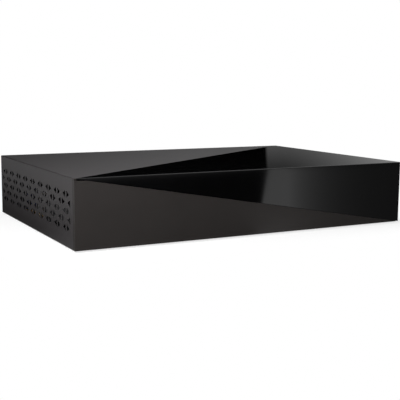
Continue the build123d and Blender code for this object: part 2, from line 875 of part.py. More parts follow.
rca_end = panel_rear + rca_reach
rca_start = panel_inside - rca_root
coax_core = (coax_radius - coax_wall) * math.cos(math.pi / jack_sides) - running_slip
rca_core = (rca_radius - rca_wall) * math.cos(math.pi / jack_sides) - running_slip
with BuildPart() as jack_insulators:
    coax_core_long = coax_bore_depth - coax_core_recess
    prisms(upright(jack_end - coax_core_recess), coax_places, coax_core, coax_core_long, core_sides)
    rca_core_long = rca_end - rca_start - rca_core_recess
    prisms(upright(rca_end - rca_core_recess), rca_places, rca_core, rca_core_long, core_sides)
save(jack_insulators, "jack_insulators")

with BuildPart() as rca_housing:
    with BuildSketch(upright(panel_inside - slip)):
        rca_top = board_top + max(rca_heights) + rca_margin
        rect(min(rca_xs) - rca_margin, max(rca_xs) + rca_margin, board_top, rca_top)
    extrude(amount=rca_depth)
    drill(upright(panel_inside - slip), rca_places, rca_radius + running_slip, rca_root - slip, jack_sides)
save(rca_housing, "rca_housing")

with BuildPart() as rca_shells:
    tubes(upright(rca_end), rca_places, rca_radius, rca_radius - rca_wall, rca_end - rca_start, jack_sides)
save(rca_shells, "rca_shells")

# Coloured collars round the jacks, upper row for the picture and lower row for plain video and sound
collar_colours = {
    "rca_collars_red": (rca_places[0], rca_places[3]),
    "rca_collar_white": (rca_places[1],),
    "rca_collar_yellow": (rca_places[2],),
    "rca_collar_blue": (rca_places[4],),
    "rca_collar_green": (rca_places[5],),
}
for collar_name, collar_places in collar_colours.items():
    with BuildPart() as rca_collar:
        collar_long = rca_collar_reach + panel_gauge + slip
        collar_face = upright(panel_rear + rca_collar_reach)
        collar_bore = rca_radius + running_slip
        tubes(collar_face, collar_places, rca_collar_radius, collar_bore, collar_long, jack_sides)
    save(rca_collar, collar_name)

# Sheet metal shells of the digital sockets, closed at the back, and the plastic tongues inside them
mouth = panel_rear + shell_proud
with BuildPart() as hdmi_socket:
    with BuildSketch(upright(mouth)):
        d_outline(hdmi_place, (hdmi_width, hdmi_height), hdmi_taper)
    extrude(amount=hdmi_depth)
    with BuildSketch(upright(mouth)):
        d_outline(hdmi_place, (hdmi_width, hdmi_height), hdmi_taper, shell_wall)
    extrude(amount=hdmi_depth - shell_wall, mode=Mode.SUBTRACT)
save(hdmi_socket, "hdmi_socket")

with BuildPart() as usb_sockets:
    with BuildSketch(upright(mouth)):
        with Locations(usb_place):
            Rectangle(usb_width, usb_height)
    extrude(amount=usb_depth)
    with BuildSketch(upright(mouth)):
        for z in usb_port_zs:
            with Locations((usb_x, z)):
                Rectangle(usb_width - shell_wall * 2, usb_port_height)
    extrude(amount=usb_depth - shell_wall, mode=Mode.SUBTRACT)
save(usb_sockets, "usb_sockets")

with BuildPart() as socket_tongues:
    with BuildSketch(upright(mouth - hdmi_depth + shell_wall)):
        with Locations(hdmi_place):
            Rectangle(*hdmi_tongue)
    extrude(amount=-(hdmi_depth - shell_wall - tongue_recess))
    with BuildSketch(upright(mouth - usb_depth + shell_wall)):
        for z in usb_port_zs:
            with Locations((usb_x, z + usb_tongue[1] / 2)):
                Rectangle(*usb_tongue)
    extrude(amount=-(usb_depth - shell_wall - tongue_recess))
save(socket_tongues, "socket_tongues")

# Optical socket: a block with a square port, closed by a sprung shutter that swings up inside it
port_low = optical_place[1] - optical_port / 2
port_high = optical_place[1] + optical_port / 2
shutter_back = mouth - optical_wall - shutter_gap
shutter_pivot = (shutter_back - shutter_thickness / 2, port_high + shutter_thickness)
cavity_high = shutter_pivot[1] + shutter_thickness / 2 + shutter_gap
cavity_low = port_low - shutter_lap - shutter_gap
cavity_half = optical_port / 2 + shutter_lap + shutter_gap
shutter_swing = shutter_pivot[1] - port_low + shutter_lap
with BuildPart() as optical_socket:
    with BuildSketch(upright(mouth)):
        with Locations(optical_place):
            Rectangle(optical_width, optical_height)
    extrude(amount=optical_depth)
    with BuildSketch(upright(mouth)):
        rect(optical_x - optical_port / 2, optical_x + optical_port / 2, port_low, port_high)
    extrude(amount=optical_depth - optical_wall, mode=Mode.SUBTRACT)
    with BuildSketch(upright(mouth - optical_wall)):
        rect(optical_x - cavity_half, optical_x + cavity_half, cavity_low, cavity_high)
    extrude(amount=shutter_swing + shutter_gap * 5, mode=Mode.SUBTRACT)
    with BuildSketch(sideways(optical_x)):
        with Locations(shutter_pivot):
            Circle(shutter_pin + running_slip)
    extrude(amount=optical_width / 2 - optical_wall / 3, both=True, mode=Mode.SUBTRACT)
save(optical_socket, "optical_socket")

with BuildPart() as optical_shutter:
    with BuildSketch(sideways(optical_x)):
        rect(
            shutter_back - shutter_thickness, shutter_back, port_low - shutter_lap, shutter_pivot[1],
        )
        with Locations(shutter_pivot):
            Circle(shutter_thickness / 2)
    extrude(amount=optical_port / 2 + shutter_lap, both=True)
    with BuildSketch(sideways(optical_x)):
        with Locations(shutter_pivot):
            Circle(shutter_pin - running_slip)
    extrude(amount=cavity_half + optical_wall / 3, both=True)
save(optical_shutter, "optical_shutter")

# Network jack with its keyed port and a comb of contacts
with BuildPart() as ethernet_jack:
    with BuildSketch(upright(mouth)):
        with Locations(ethernet_place):
            Rectangle(ethernet_width, ethernet_height)
    extrude(amount=ethernet_depth)
    port_width, port_tall = ethernet_port
    port_base = ethernet_place[1] - port_tall / 2 + ethernet_key[1] / 2
    with BuildSketch(upright(mouth)):
        rect(ethernet_x - port_width / 2, ethernet_x + port_width / 2, port_base, port_base + port_tall)
        key_half = ethernet_key[0] / 2
        rect(ethernet_x - key_half, ethernet_x + key_half, port_base - ethernet_key[1], port_base)
    extrude(amount=ethernet_port_depth, mode=Mode.SUBTRACT)
    with BuildSketch(upright(mouth - ethernet_port_depth)):
        for step in range(ethernet_contacts):
            x = ethernet_x + (step - (ethernet_contacts - 1) / 2) * ethernet_contact_pitch
            wide, tall = ethernet_contact
            rect(x - wide / 2, x + wide / 2, port_base + port_tall - tall, port_base + port_tall)
    extrude(amount=-(ethernet_port_depth - shell_wall * 4))
save(ethernet_jack, "ethernet_jack")

# Reset: a small switch on the board, and its plunger through the panel
reset_tip = panel_rear + reset_proud
reset_root = panel_inside - slip - reset_travel * 2
with BuildPart() as reset_switch:
    with BuildSketch(upright(panel_inside - slip - reset_travel)):
        reset_top = board_top + reset_height + reset_body / 2
        rect(reset_x - reset_body / 2, reset_x + reset_body / 2, board_top, reset_top)
    extrude(amount=reset_body_depth)
    bore_depth = panel_inside - slip - reset_travel - reset_root + reset_travel + slip
    rounds(
        upright(panel_inside - slip - reset_travel), [reset_place], reset_radius + running_slip, bore_depth,
        Mode.SUBTRACT,
    )
save(reset_switch, "reset_switch")

with BuildPart() as reset_button:
    rounds(upright(reset_tip), [reset_place], reset_radius, reset_tip - reset_root)
save(reset_button, "reset_button")

# Mains inlet of the figure of eight kind, with its two pins
with BuildPart() as power_inlet:
    with BuildSketch(upright(panel_rear + inlet_flange_thickness)):
        inlet_face = (inlet_width + inlet_flange * 2, inlet_tall + inlet_flange * 2)
        clipped((inlet_x, power_z), inlet_face, inlet_corner)
    extrude(amount=inlet_flange_thickness)
    with BuildSketch(upright(panel_rear)):
        with Locations((inlet_x, power_z)):
            Rectangle(inlet_width, inlet_tall)
    extrude(amount=inlet_depth)
    with BuildSketch(upright(panel_rear + inlet_flange_thickness)):
        with Locations((inlet_x, power_z)):
            with GridLocations(inlet_lobe_pitch, 1, 2, 1):
                RegularPolygon(inlet_lobe_radius, inlet_lobe_sides)
            Rectangle(inlet_lobe_pitch, inlet_waist)
    extrude(amount=inlet_cavity_depth, mode=Mode.SUBTRACT)
save(power_inlet, "power_inlet")

inlet_cavity_floor = panel_rear + inlet_flange_thickness - inlet_cavity_depth
inlet_back = panel_rear - inlet_depth
with BuildPart() as inlet_pins:
    pin_places = [(inlet_x + side * inlet_lobe_pitch / 2, power_z) for side in (-1, 1)]
    prisms(
        upright(inlet_cavity_floor), pin_places, inlet_pin_radius, -(inlet_cavity_depth - inlet_pin_recess),
        inlet_pin_sides,
    )
    with BuildSketch(upright(inlet_back)):
        with Locations((inlet_x, power_z)):
            with GridLocations(inlet_lobe_pitch, 1, 2, 1):
                Rectangle(*tab_size)
    extrude(amount=tab_length)
save(inlet_pins, "inlet_pins")

# Mains rocker switch: a clip-in frame and a rocker that turns on two stub pins
rocker_axis = (panel_rear - rocker_pivot_depth, power_z)
switch_back = panel_rear - switch_depth
rocker_half_x = switch_width / 2 - switch_wall - rocker_gap
with BuildPart() as switch_housing:
    with BuildSketch(upright(panel_rear + switch_flange_thickness)):
        switch_face = (switch_width + switch_flange * 2, switch_tall + switch_flange * 2)
        clipped((switch_x, power_z), switch_face, switch_corner)
    extrude(amount=switch_flange_thickness)
    with BuildSketch(upright(panel_rear)):
        with Locations((switch_x, power_z)):
            Rectangle(switch_width, switch_tall)
    extrude(amount=switch_depth)
    with BuildSketch(upright(panel_rear + switch_flange_thickness)):
        with Locations((switch_x, power_z)):
            Rectangle(switch_width - switch_wall * 2, switch_tall - switch_wall * 2)
    extrude(amount=switch_cavity_depth, mode=Mode.SUBTRACT)
    with BuildSketch(sideways(switch_x)):
        with Locations(rocker_axis):
            Circle(rocker_pin_radius + running_slip)
    pin_bore_long = rocker_half_x + rocker_gap + rocker_pin_length + running_slip
    extrude(amount=pin_bore_long, both=True, mode=Mode.SUBTRACT)
    with BuildSketch(upright(switch_back)):
        with Locations((switch_x, power_z)):
            with GridLocations(1, switch_tab_pitch, 1, 2):
                Rectangle(*tab_size)
    extrude(amount=tab_length)
save(switch_housing, "switch_housing")

tilt = math.radians(rocker_tilt)
rocker_plane = Plane(
    origin=(switch_x, *rocker_axis), x_dir=(0, math.cos(tilt), math.sin(tilt)), z_dir=(1, 0, 0),
)
crest_v = math.sqrt(rocker_radius**2 - rocker_crest**2)
with BuildPart() as switch_rocker:
    with BuildSketch(rocker_plane):
        Circle(rocker_radius)
        rect(-rocker_radius, -rocker_back, -rocker_radius, rocker_radius, mode=Mode.SUBTRACT)
        with BuildLine():
            Polyline(
                (rocker_valley, 0), (rocker_crest, crest_v), (rocker_radius * 2, crest_v),
                (rocker_radius * 2, -crest_v), (rocker_crest, -crest_v), close=True,
            )
        make_face(mode=Mode.SUBTRACT)
    extrude(amount=rocker_half_x, both=True)
    with BuildSketch(rocker_plane):
        Circle(rocker_pin_radius)
    extrude(amount=rocker_half_x + rocker_gap + rocker_pin_length, both=True)
save(switch_rocker, "switch_rocker")

# Cooling fan: a frame with a motor mount on struts, and a rotor with twisted blades
fan_front = panel_inside - slip - fan_depth
fan_rear = panel_inside - slip
with BuildPart() as fan_frame:
    with BuildSketch(upright(fan_rear)):
        clipped((fan_x, fan_z), (fan_side, fan_side), fan_corner)
        with Locations((fan_x, fan_z)):
            RegularPolygon(fan_bore_radius, fan_bore_sides, mode=Mode.SUBTRACT)
    extrude(amount=fan_depth)
    with BuildSketch(upright(fan_rear)):
        with Locations((fan_x, fan_z)):
            RegularPolygon(fan_motor_radius, fan_motor_sides)
            Rectangle(fan_bore_radius * 2 + fan_strut_sink, fan_strut)
            Rectangle(fan_strut, fan_bore_radius * 2 + fan_strut_sink)
    extrude(amount=fan_back)
    drill(upright(fan_rear), fan_holes, clear_hole, fan_depth)
    rounds(upright(fan_rear), [(fan_x, fan_z)], fan_shaft_radius + running_slip, fan_back, Mode.SUBTRACT)
save(fan_frame, "fan_frame")

rotor_rear = fan_rear - fan_back - fan_end_gap
rotor_front = fan_front + fan_end_gap
rotor_middle = (rotor_front + rotor_rear) / 2
blade_pitch = math.radians(fan_pitch)
blade_tip = math.sqrt((fan_bore_radius - fan_tip_gap) ** 2 - (fan_tip_chord / 2 * math.cos(blade_pitch)) ** 2)
with BuildPart() as fan_rotor:
    prisms(upright(rotor_rear), [(fan_x, fan_z)], fan_hub_radius, rotor_rear - rotor_front, fan_hub_sides)
    rounds(upright(rotor_rear), [(fan_x, fan_z)], fan_shaft_radius, -(fan_end_gap + fan_back - running_slip))
    for step in range(fan_blades):
        turned = math.tau * step / fan_blades
        out = Vector(math.cos(turned), 0, math.sin(turned))
        round_way = Vector(-math.sin(turned), 0, math.cos(turned))
        chord_way = round_way * math.cos(blade_pitch) + Vector(0, 1, 0) * math.sin(blade_pitch)
        face = Plane(origin=(fan_x, rotor_middle, fan_z), x_dir=out, z_dir=out.cross(chord_way))
        with BuildSketch(face):
            with BuildLine():
                Polyline(
                    (0, -fan_root_chord / 2), (blade_tip, -fan_tip_chord / 2), (blade_tip, fan_tip_chord / 2),
                    (0, fan_root_chord / 2), close=True,
                )
            make_face()
        extrude(amount=fan_blade_thickness / 2, both=True)
save(fan_rotor, "fan_rotor")

# Boards and what stands on them
with BuildPart() as main_board:
    with BuildSketch(level(board_under)):
        rect(board_left, board_right, board_front, board_rear)
        with Locations(*board_holes):
            RegularPolygon(clear_hole, screw_sides, mode=Mode.SUBTRACT)
    extrude(amount=board_thickness)
save(main_board, "main_board")

with BuildPart() as main_chips:
    with BuildSketch(level(board_top)):
        with Locations((chip_x, chip_y)):
            Rectangle(chip_side, chip_side)
    extrude(amount=chip_height)
    with BuildSketch(level(board_top)):
        with Locations((chip_x, chip_y - sink_side / 2 - memory_size[1])):
            with GridLocations(memory_pitch, 1, memory_count, 1):
                Rectangle(memory_size[0], memory_size[1])
    extrude(amount=memory_size[2])
save(main_chips, "main_chips")

with BuildPart() as processor_heatsink:
    with BuildSketch(upright(chip_y - sink_side / 2)):
        sink_low = board_top + chip_height
        rect(chip_x - sink_side / 2, chip_x + sink_side / 2, sink_low, sink_low + sink_base)
        with Locations((chip_x, sink_low + sink_base + sink_fin_height / 2)):
            with GridLocations((sink_side - sink_fin) / (sink_fins - 1), 1, sink_fins, 1):
                Rectangle(sink_fin, sink_fin_height)
    extrude(amount=-sink_side)
    with BuildSketch(level(sink_low + sink_base)):
        with Locations((chip_x, chip_y)):
            Rectangle(sink_side, sink_fin * 3)
    extrude(amount=sink_fin_height, mode=Mode.SUBTRACT)
save(processor_heatsink, "processor_heatsink")

capacitor_places = [
    (board_left + capacitor_left_gap, board_front + capacitor_front_gap + step * capacitor_pitch)
    for step in range(capacitor_count)
]
beside_sink = chip_x + sink_side / 2 + capacitor_pitch
capacitor_places += [(beside_sink, chip_y + side * capacitor_pitch / 2) for side in (-1, 1)]
with BuildPart() as board_capacitors:
    prisms(level(board_top), capacitor_places, capacitor_radius, capacitor_height, capacitor_sides)
save(board_capacitors, "board_capacitors")

# Power supply
with BuildPart() as psu_board:
    with BuildSketch(level(board_under)):
        rect(psu_left, psu_right, psu_front, psu_rear)
        with Locations(*psu_holes):
            RegularPolygon(clear_hole, screw_sides, mode=Mode.SUBTRACT)
    extrude(amount=board_thickness)
save(psu_board, "psu_board")

bulk_place = (psu_left + bulk_left_gap, psu_rear - bulk_rear_gap)
sink_front = psu_front + psu_sink_front_gap
sink_rear = bulk_place[1] - bulk_radius - psu_sink_rear_gap
transformer_x = (psu_left + psu_right) / 2
transformer_y = (sink_front + sink_rear) / 2
core_w, core_d, core_h = transformer_size
with BuildPart() as psu_transformer:
    with BuildSketch(upright(transformer_y - core_d / 4)):
        rect(transformer_x - core_w / 2, transformer_x + core_w / 2, board_top, board_top + core_h)
    extrude(amount=-core_d / 2)
    with BuildSketch(level(board_top + transformer_leg)):
        clipped((transformer_x, transformer_y), (core_w - transformer_leg, core_d), transformer_leg * 0.6)
    extrude(amount=core_h - transformer_leg * 2)
save(psu_transformer, "psu_transformer")

output_room = psu_rear - psu_front - output_front_gap - board_hole_inset
output_places = [
    (psu_right - output_right_gap, psu_front + output_front_gap + step * capacitor_pitch)
    for step in range(int(output_room / capacitor_pitch))
]
with BuildPart() as psu_capacitors:
    prisms(level(board_top), [bulk_place], bulk_radius, bulk_height, capacitor_sides)
    prisms(level(board_top), output_places, capacitor_radius, output_height, capacitor_sides)
save(psu_capacitors, "psu_capacitors")

with BuildPart() as psu_heatsinks:
    for side in (-1, 1):
        x = transformer_x + side * (core_w / 2 + psu_sink_gap)
        with BuildSketch(level(board_top)):
            rect(x - psu_sink_thickness / 2, x + psu_sink_thickness / 2, sink_front, sink_rear)
            with Locations((x, transformer_y)):
                fin_pitch = (sink_rear - sink_front - psu_sink_fin) / (psu_sink_fins - 1)
                with GridLocations(1, fin_pitch, 1, psu_sink_fins):
                    Rectangle(psu_sink_thickness * 3, psu_sink_fin)
        extrude(amount=psu_sink_height)
save(psu_heatsinks, "psu_heatsinks")

# Front board with its lamps, light guide and remote control receiver
with BuildPart() as front_board:
    with BuildSketch(upright(front_board_y)):
        rect(front_board_left, front_board_right, front_board_low, front_board_high)
        with Locations(*front_board_holes):
            RegularPolygon(clear_hole, screw_sides, mode=Mode.SUBTRACT)
    extrude(amount=-board_thickness)
save(front_board, "front_board")

with BuildPart() as status_leds:
    with BuildSketch(upright(front_board_y)):
        with Locations(*led_places):
            Rectangle(led_side, led_side)
    extrude(amount=led_height)
save(status_leds, "status_leds")

guide_end = front_board_y - led_height
with BuildPart() as light_guide:
    blocks(upright(guide_end), led_places, (guide_side, guide_side), guide_end - fascia_back)
    with BuildSketch(upright(bezel_back + guide_bar)):
        rect(
            led_places[0][0] - guide_side, led_places[-1][0] + guide_side,
            led_height_z - guide_side, led_height_z + guide_side,
        )
    extrude(amount=guide_bar)
save(light_guide, "light_guide")

with BuildPart() as ir_receiver:
    wide, tall, thick = ir_size
    blocks(upright(front_board_y), [(ir_x, led_height_z)], (wide, tall), thick * 0.6)
    prisms(upright(front_board_y), [(ir_x, led_height_z)], tall * 0.42, thick, capacitor_sides)
save(ir_receiver, "ir_receiver")

# Hard disk drive, carried on rubber in a steel cradle
board_bay = (
    drive_left + drive_wall * 4, drive_right - drive_wall,
    drive_front + drive_wall * 3, drive_rear - drive_wall * 3,
)
cradle_holes = [(x, drive_hole_z) for x in drive_hole_xs]
with BuildPart() as drive_base:
    with BuildSketch(level(drive_under)):
        rect(drive_left, drive_right, drive_front, drive_rear)
    extrude(amount=drive_rim - drive_under)
    with BuildSketch(level(drive_under)):
        rect(*board_bay)
    extrude(amount=drive_board_recess, mode=Mode.SUBTRACT)
    with BuildSketch(level(drive_bay_floor)):
        with Locations(spindle):
            RegularPolygon(grow(disk_radius + disk_bay_gap / 2, bay_sides), bay_sides)
        rect(spindle[0], drive_right - drive_wall, drive_front + drive_wall, drive_rear - drive_wall)
    extrude(amount=drive_rim - drive_bay_floor, mode=Mode.SUBTRACT)
    rounds(level(drive_bay_floor), [spindle], spindle_post_radius, disk_lift + hub_flange + disk_thickness)
    rounds(level(drive_bay_floor), [pivot], arm_post_radius, drive_rim - drive_bay_floor)
    drill(level(drive_rim), lid_screw_places, screw_hole * lid_screw_scale, -lid_screw_length)
    drill(upright(drive_front), cradle_holes, screw_hole, -drive_hole_depth)
    drill(upright(drive_rear), cradle_holes, screw_hole, drive_hole_depth)
save(drive_base, "drive_base")

with BuildPart() as drive_lid:
    with BuildSketch(level(drive_rim)):
        rect(drive_left + slip, drive_right - slip, drive_front + slip, drive_rear - slip)
    extrude(amount=drive_lid_gauge)
    drill(level(drive_top), [spindle], disk_radius - drive_wall * 2, -drive_lid_gauge / 3, bay_sides)
    drill(level(drive_rim), lid_screw_places, clear_hole * lid_screw_scale, drive_lid_gauge)
save(drive_lid, "drive_lid")

hub_low = drive_bay_floor + disk_lift
disk_low = hub_low + hub_flange
disk_high = disk_low + disk_thickness
with BuildPart() as drive_disks:
    with BuildSketch(level(disk_low)):
        with Locations(spindle):
            RegularPolygon(disk_radius, disk_sides)
            RegularPolygon(hub_radius + running_slip, hub_sides, mode=Mode.SUBTRACT)
    extrude(amount=disk_thickness)
save(drive_disks, "drive_disks")

with BuildPart() as drive_hub:
    prisms(level(hub_low), [spindle], hub_flange_radius, hub_flange, hub_sides)
    prisms(level(disk_low), [spindle], hub_radius, disk_thickness, hub_sides)
    prisms(level(disk_high), [spindle], hub_flange_radius, hub_clamp, hub_sides)
    rounds(level(hub_low), [spindle], hub_bore_radius, disk_high - hub_low + hub_clamp / 2, Mode.SUBTRACT)
save(drive_hub, "drive_hub")

# Head arms, one below the disk and one above it, on a hub that turns on the pivot post
arm_hub_low = drive_bay_floor + arm_end_gap
arm_hub_high = drive_rim - arm_end_gap
coil_z = (arm_hub_low + arm_hub_high - coil_thickness) / 2


def round_pivot(angle, radius):
    """A point at an angle and a radius about the pivot of the arms."""
    a = math.radians(angle)
    return (pivot[0] + radius * math.cos(a), pivot[1] + radius * math.sin(a))


coil_angle = arm_park_angle - 180
with BuildPart() as drive_arm:
    with BuildSketch(level(disk_low - arm_gap - arm_thickness), level(disk_high + arm_gap)):
        lengthwise = math.radians(arm_park_angle)
        across = (-math.sin(lengthwise), math.cos(lengthwise))
        tip = round_pivot(arm_park_angle, arm_length)
        ends = ((pivot, arm_root / 2, (-1, 1)), (tip, arm_tip / 2, (1, -1)))
        shifts = [(end, out * side) for end, out, sides in ends for side in sides]
        corners = [(end[0] + shift * across[0], end[1] + shift * across[1]) for end, shift in shifts]
        with BuildLine():
            Polyline(*corners, close=True)
        make_face()
    extrude(amount=arm_thickness)
    prisms(level(arm_hub_low), [pivot], arm_hub_radius, arm_hub_high - arm_hub_low, arm_hub_sides)
    with BuildSketch(level(coil_z)):
        for side in (-1, 1):
            inner = round_pivot(coil_angle + side * coil_half_angle, arm_hub_radius * 0.8)
            outer = round_pivot(coil_angle + side * coil_half_angle, coil_inner)
            with BuildLine():
                Line(inner, outer)
            trace(line_width=coil_thickness)
    extrude(amount=coil_thickness)
    rounds(level(arm_hub_low), [pivot], arm_bore_radius, arm_hub_high - arm_hub_low, Mode.SUBTRACT)
save(drive_arm, "drive_arm")


def ring_sector(inner, outer, low_angle, high_angle, mode=Mode.ADD):
    """A sector of a ring about the pivot, in short straight steps."""
    turns = [low_angle + (high_angle - low_angle) * step / sector_steps for step in range(sector_steps + 1)]
    with BuildLine() as outline:
        inside = [round_pivot(angle, inner) for angle in turns]
        outside = [round_pivot(angle, outer) for angle in reversed(turns)]
        Polyline(*inside, *outside, close=True)
    make_face(outline.edges(), mode=mode)


with BuildPart() as drive_coil:
    with BuildSketch(level(coil_z)):
        coil_from, coil_to = coil_angle - coil_half_angle, coil_angle + coil_half_angle
        ring_sector(coil_inner + running_slip, coil_outer, coil_from, coil_to)
        eye_inner, eye_outer = coil_inner + coil_ring, coil_outer - coil_ring
        eye = coil_half_angle - math.degrees(coil_ring / ((coil_inner + coil_outer) / 2))
        ring_sector(eye_inner, eye_outer, coil_angle - eye, coil_angle + eye, mode=Mode.SUBTRACT)
    extrude(amount=coil_thickness)
save(drive_coil, "drive_coil")

with BuildPart() as drive_magnets:
    with BuildSketch(level(drive_bay_floor)):
        ring_sector(magnet_inner, magnet_outer, magnet_from, magnet_to)
    extrude(amount=coil_z - magnet_gap - drive_bay_floor)
    with BuildSketch(level(coil_z + coil_thickness + magnet_gap)):
        ring_sector(magnet_inner, magnet_outer, magnet_from, magnet_to)
    extrude(amount=drive_rim - coil_z - coil_thickness - magnet_gap)
save(drive_magnets, "drive_magnets")

with BuildPart() as drive_board:
    with BuildSketch(level(drive_under)):
        rect(board_bay[0] + slip, board_bay[1] - slip, board_bay[2] + slip, board_bay[3] - slip)
    extrude(amount=drive_board_thickness)
save(drive_board, "drive_board")

# Steel cradle with rubber grommets in its walls
with BuildPart() as drive_bracket:
    with BuildSketch(sideways(drive_left + bracket_end_gap)):
        rect(cradle_front, cradle_rear, pan_floor, pan_floor + bracket_wall_height)
        rect(
            cradle_front + bracket_gauge, cradle_rear - bracket_gauge, pan_floor + bracket_gauge,
            pan_floor + bracket_wall_height, mode=Mode.SUBTRACT,
        )
    extrude(amount=drive_length - bracket_end_gap * 2)
    middles = [(drive_middle_x + side * cradle_window_pitch / 2, drive_middle_y) for side in (-1, 1)]
    blocks(level(pan_floor), middles, cradle_window, bracket_gauge, Mode.SUBTRACT)
    drill(level(pan_floor), bracket_fixings, clear_hole, bracket_gauge)
    drill(upright(cradle_front), cradle_holes, grommet_neck + running_slip, -bracket_gauge, grommet_sides)
    drill(upright(cradle_rear), cradle_holes, grommet_neck + running_slip, bracket_gauge, grommet_sides)
save(drive_bracket, "drive_bracket")

with BuildPart() as drive_grommets:
    for wall, out in ((cradle_front, 1), (cradle_rear, -1)):
        prisms(upright(wall), cradle_holes, grommet_radius, grommet_flange * out, grommet_sides)
        prisms(upright(wall), cradle_holes, grommet_neck, -(bracket_gauge + bracket_gap) * out, grommet_sides)
        drill(
            upright(wall - grommet_flange * out), cradle_holes, screw_radius + slip,
            -(grommet_flange + bracket_gauge + bracket_gap) * out,
        )
save(drive_grommets, "drive_grommets")

# Fasteners
with BuildPart() as rear_screws:
    screws(upright(y_rear), cover_screw_places, out=-1)
    screws(upright(panel_rear), fan_holes, out=-1, length=fan_screw_length)
save(rear_screws, "rear_screws")

with BuildPart() as chassis_screws:
    screws(level(board_top), board_holes + psu_holes)
    screws(level(pan_floor + panel_gauge), panel_fixings, length=panel_gauge + pan_gauge)
    screws(level(pan_floor + bracket_gauge), bracket_fixings, length=bracket_gauge + pan_gauge)
    screws(upright(front_board_y + board_thickness), front_board_holes, out=-1)
    reach = grommet_flange + bracket_gauge + bracket_gap + drive_screw_reach
    screws(upright(cradle_front - grommet_flange), cradle_holes, length=reach)
    screws(upright(cradle_rear + grommet_flange), cradle_holes, out=-1, length=reach)
save(chassis_screws, "chassis_screws")

with BuildPart() as lid_screws:
    screws(level(drive_top), lid_screw_places, length=lid_screw_length, scale=lid_screw_scale)
save(lid_screws, "lid_screws")


# Cables and leads inside the case
def flat_run(points, radius, thickness):
    """The edge view of a flat cable through points, with round bends."""
    with BuildLine() as run:
        FilletPolyline(*points, radius=radius)
    trace(run.edges(), line_width=thickness)


def plug(plane, u, v, size, amount):
    """A plug body centred at u and v on a plane."""
    with BuildSketch(plane) as outline:
        with Locations((u, v)):
            Rectangle(*size)
    extrude(outline.sketch, amount=amount)


plug_wall = plug_margin * 2
ribbon_x = front_board_left + ribbon_from_left
ribbon_start = front_board_y + board_thickness
ribbon_high = front_board_low + ribbon_above_edge
ribbon_drop = board_front + plug_thickness
with BuildPart() as front_ribbon:
    with BuildSketch(sideways(ribbon_x - ribbon_width / 2)):
        flat_run(
            [
                (ribbon_start + plug_thickness - plug_margin, ribbon_high),
                (ribbon_start + plug_thickness * 3, ribbon_high),
                (ribbon_drop - plug_height * 2, board_top + plug_height * 1.5),
                (ribbon_drop, board_top + plug_height * 1.5), (ribbon_drop, board_top + plug_height / 2),
            ],
            cable_bend, ribbon_thickness,
        )
    extrude(amount=ribbon_width)
    ribbon_plug = (ribbon_width + plug_wall, plug_thickness)
    plug(upright(ribbon_start), ribbon_x, ribbon_high, ribbon_plug, -plug_thickness)
    plug(level(board_top), ribbon_x, ribbon_drop, ribbon_plug, plug_height)
save(front_ribbon, "front_ribbon")

# Combined data and power lead from the main board to the end of the drive
drive_cable_y = drive_rear - drive_cable_from_rear
drive_plug_z = drive_under + drive_board_recess + plug_thickness * 0.8
drive_cable_x = board_left + drive_cable_inset
drive_bend_x = drive_right + plug_height * 2
drive_cable_z = board_top + drive_cable_rise
with BuildPart() as drive_cable:
    with BuildSketch(upright(drive_cable_y - drive_cable_width / 2)):
        flat_run(
            [
                (drive_right + plug_height - plug_margin, drive_plug_z), (drive_bend_x, drive_plug_z),
                (drive_bend_x, drive_cable_z), (drive_cable_x, drive_cable_z),
                (drive_cable_x, board_top + plug_height / 2),
            ],
            cable_bend, drive_cable_thickness,
        )
    extrude(amount=-drive_cable_width)
    plug_size = (plug_thickness, drive_cable_width + plug_wall)
    plug(sideways(drive_right), drive_cable_y, drive_plug_z, (plug_size[1], plug_size[0]), plug_height)
    plug(level(board_top), drive_cable_x, drive_cable_y, plug_size, plug_height)
save(drive_cable, "drive_cable")

harness_y = psu_front + board_hole_inset * 2
harness_from, harness_to = psu_right - harness_inset, board_left + harness_inset * 1.5
with BuildPart() as power_harness:
    with BuildSketch(upright(harness_y - harness_width / 2)):
        flat_run(
            [
                (harness_from, board_top + plug_height / 2), (harness_from, board_top + harness_rise),
                (harness_to, board_top + harness_rise), (harness_to, board_top + plug_height / 2),
            ],
            cable_bend, harness_thickness,
        )
    extrude(amount=-harness_width)
    for x in (harness_from, harness_to):
        plug(level(board_top), x, harness_y, (plug_thickness, harness_width + plug_wall), plug_height)
save(power_harness, "power_harness")


def lead(points):
    """A square sleeved lead through points, with mitred bends."""
    with BuildLine() as run:
        Polyline(*points)
    with BuildSketch(Plane(origin=run.line @ 0, z_dir=run.line % 0)) as end:
        Rectangle(lead_side, lead_side)
    sweep(end.sketch, path=run.line, transition=Transition.RIGHT)


# Mains leads: neutral to the supply, live to the switch, and switched live to the supply
lead_y = inlet_back - tab_length - lead_back
with BuildPart() as mains_leads:
    neutral_x = inlet_x - inlet_lobe_pitch / 2
    tab_end = inlet_back - tab_length
    lead([(neutral_x, tab_end, power_z), (neutral_x, lead_y, power_z), (neutral_x, lead_y, board_top)])
    live_x = inlet_x + inlet_lobe_pitch / 2
    tab_high, tab_low = power_z + switch_tab_pitch / 2, power_z - switch_tab_pitch / 2
    high, blade_end = tab_high + lead_rise, switch_back - tab_length
    lead([
        (live_x, tab_end, power_z), (live_x, lead_y, power_z), (live_x, lead_y, high),
        (switch_x, lead_y, high), (switch_x, lead_y, tab_high), (switch_x, blade_end, tab_high),
    ])
    lead([(switch_x, blade_end, tab_low), (switch_x, lead_y, tab_low), (switch_x, lead_y, board_top)])
save(mains_leads, "mains_leads")
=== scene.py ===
"""Looks for the digital video recorder: finishes, fine detail, a pale studio and the photograph's camera.

X runs to the right seen from the front, Y to the rear and Z up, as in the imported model. The pieces are
written in millimetres, which MM turns into the model's metres, and the studio in metres.
"""

import math

import bmesh
import bpy
from mathutils import Matrix, Vector


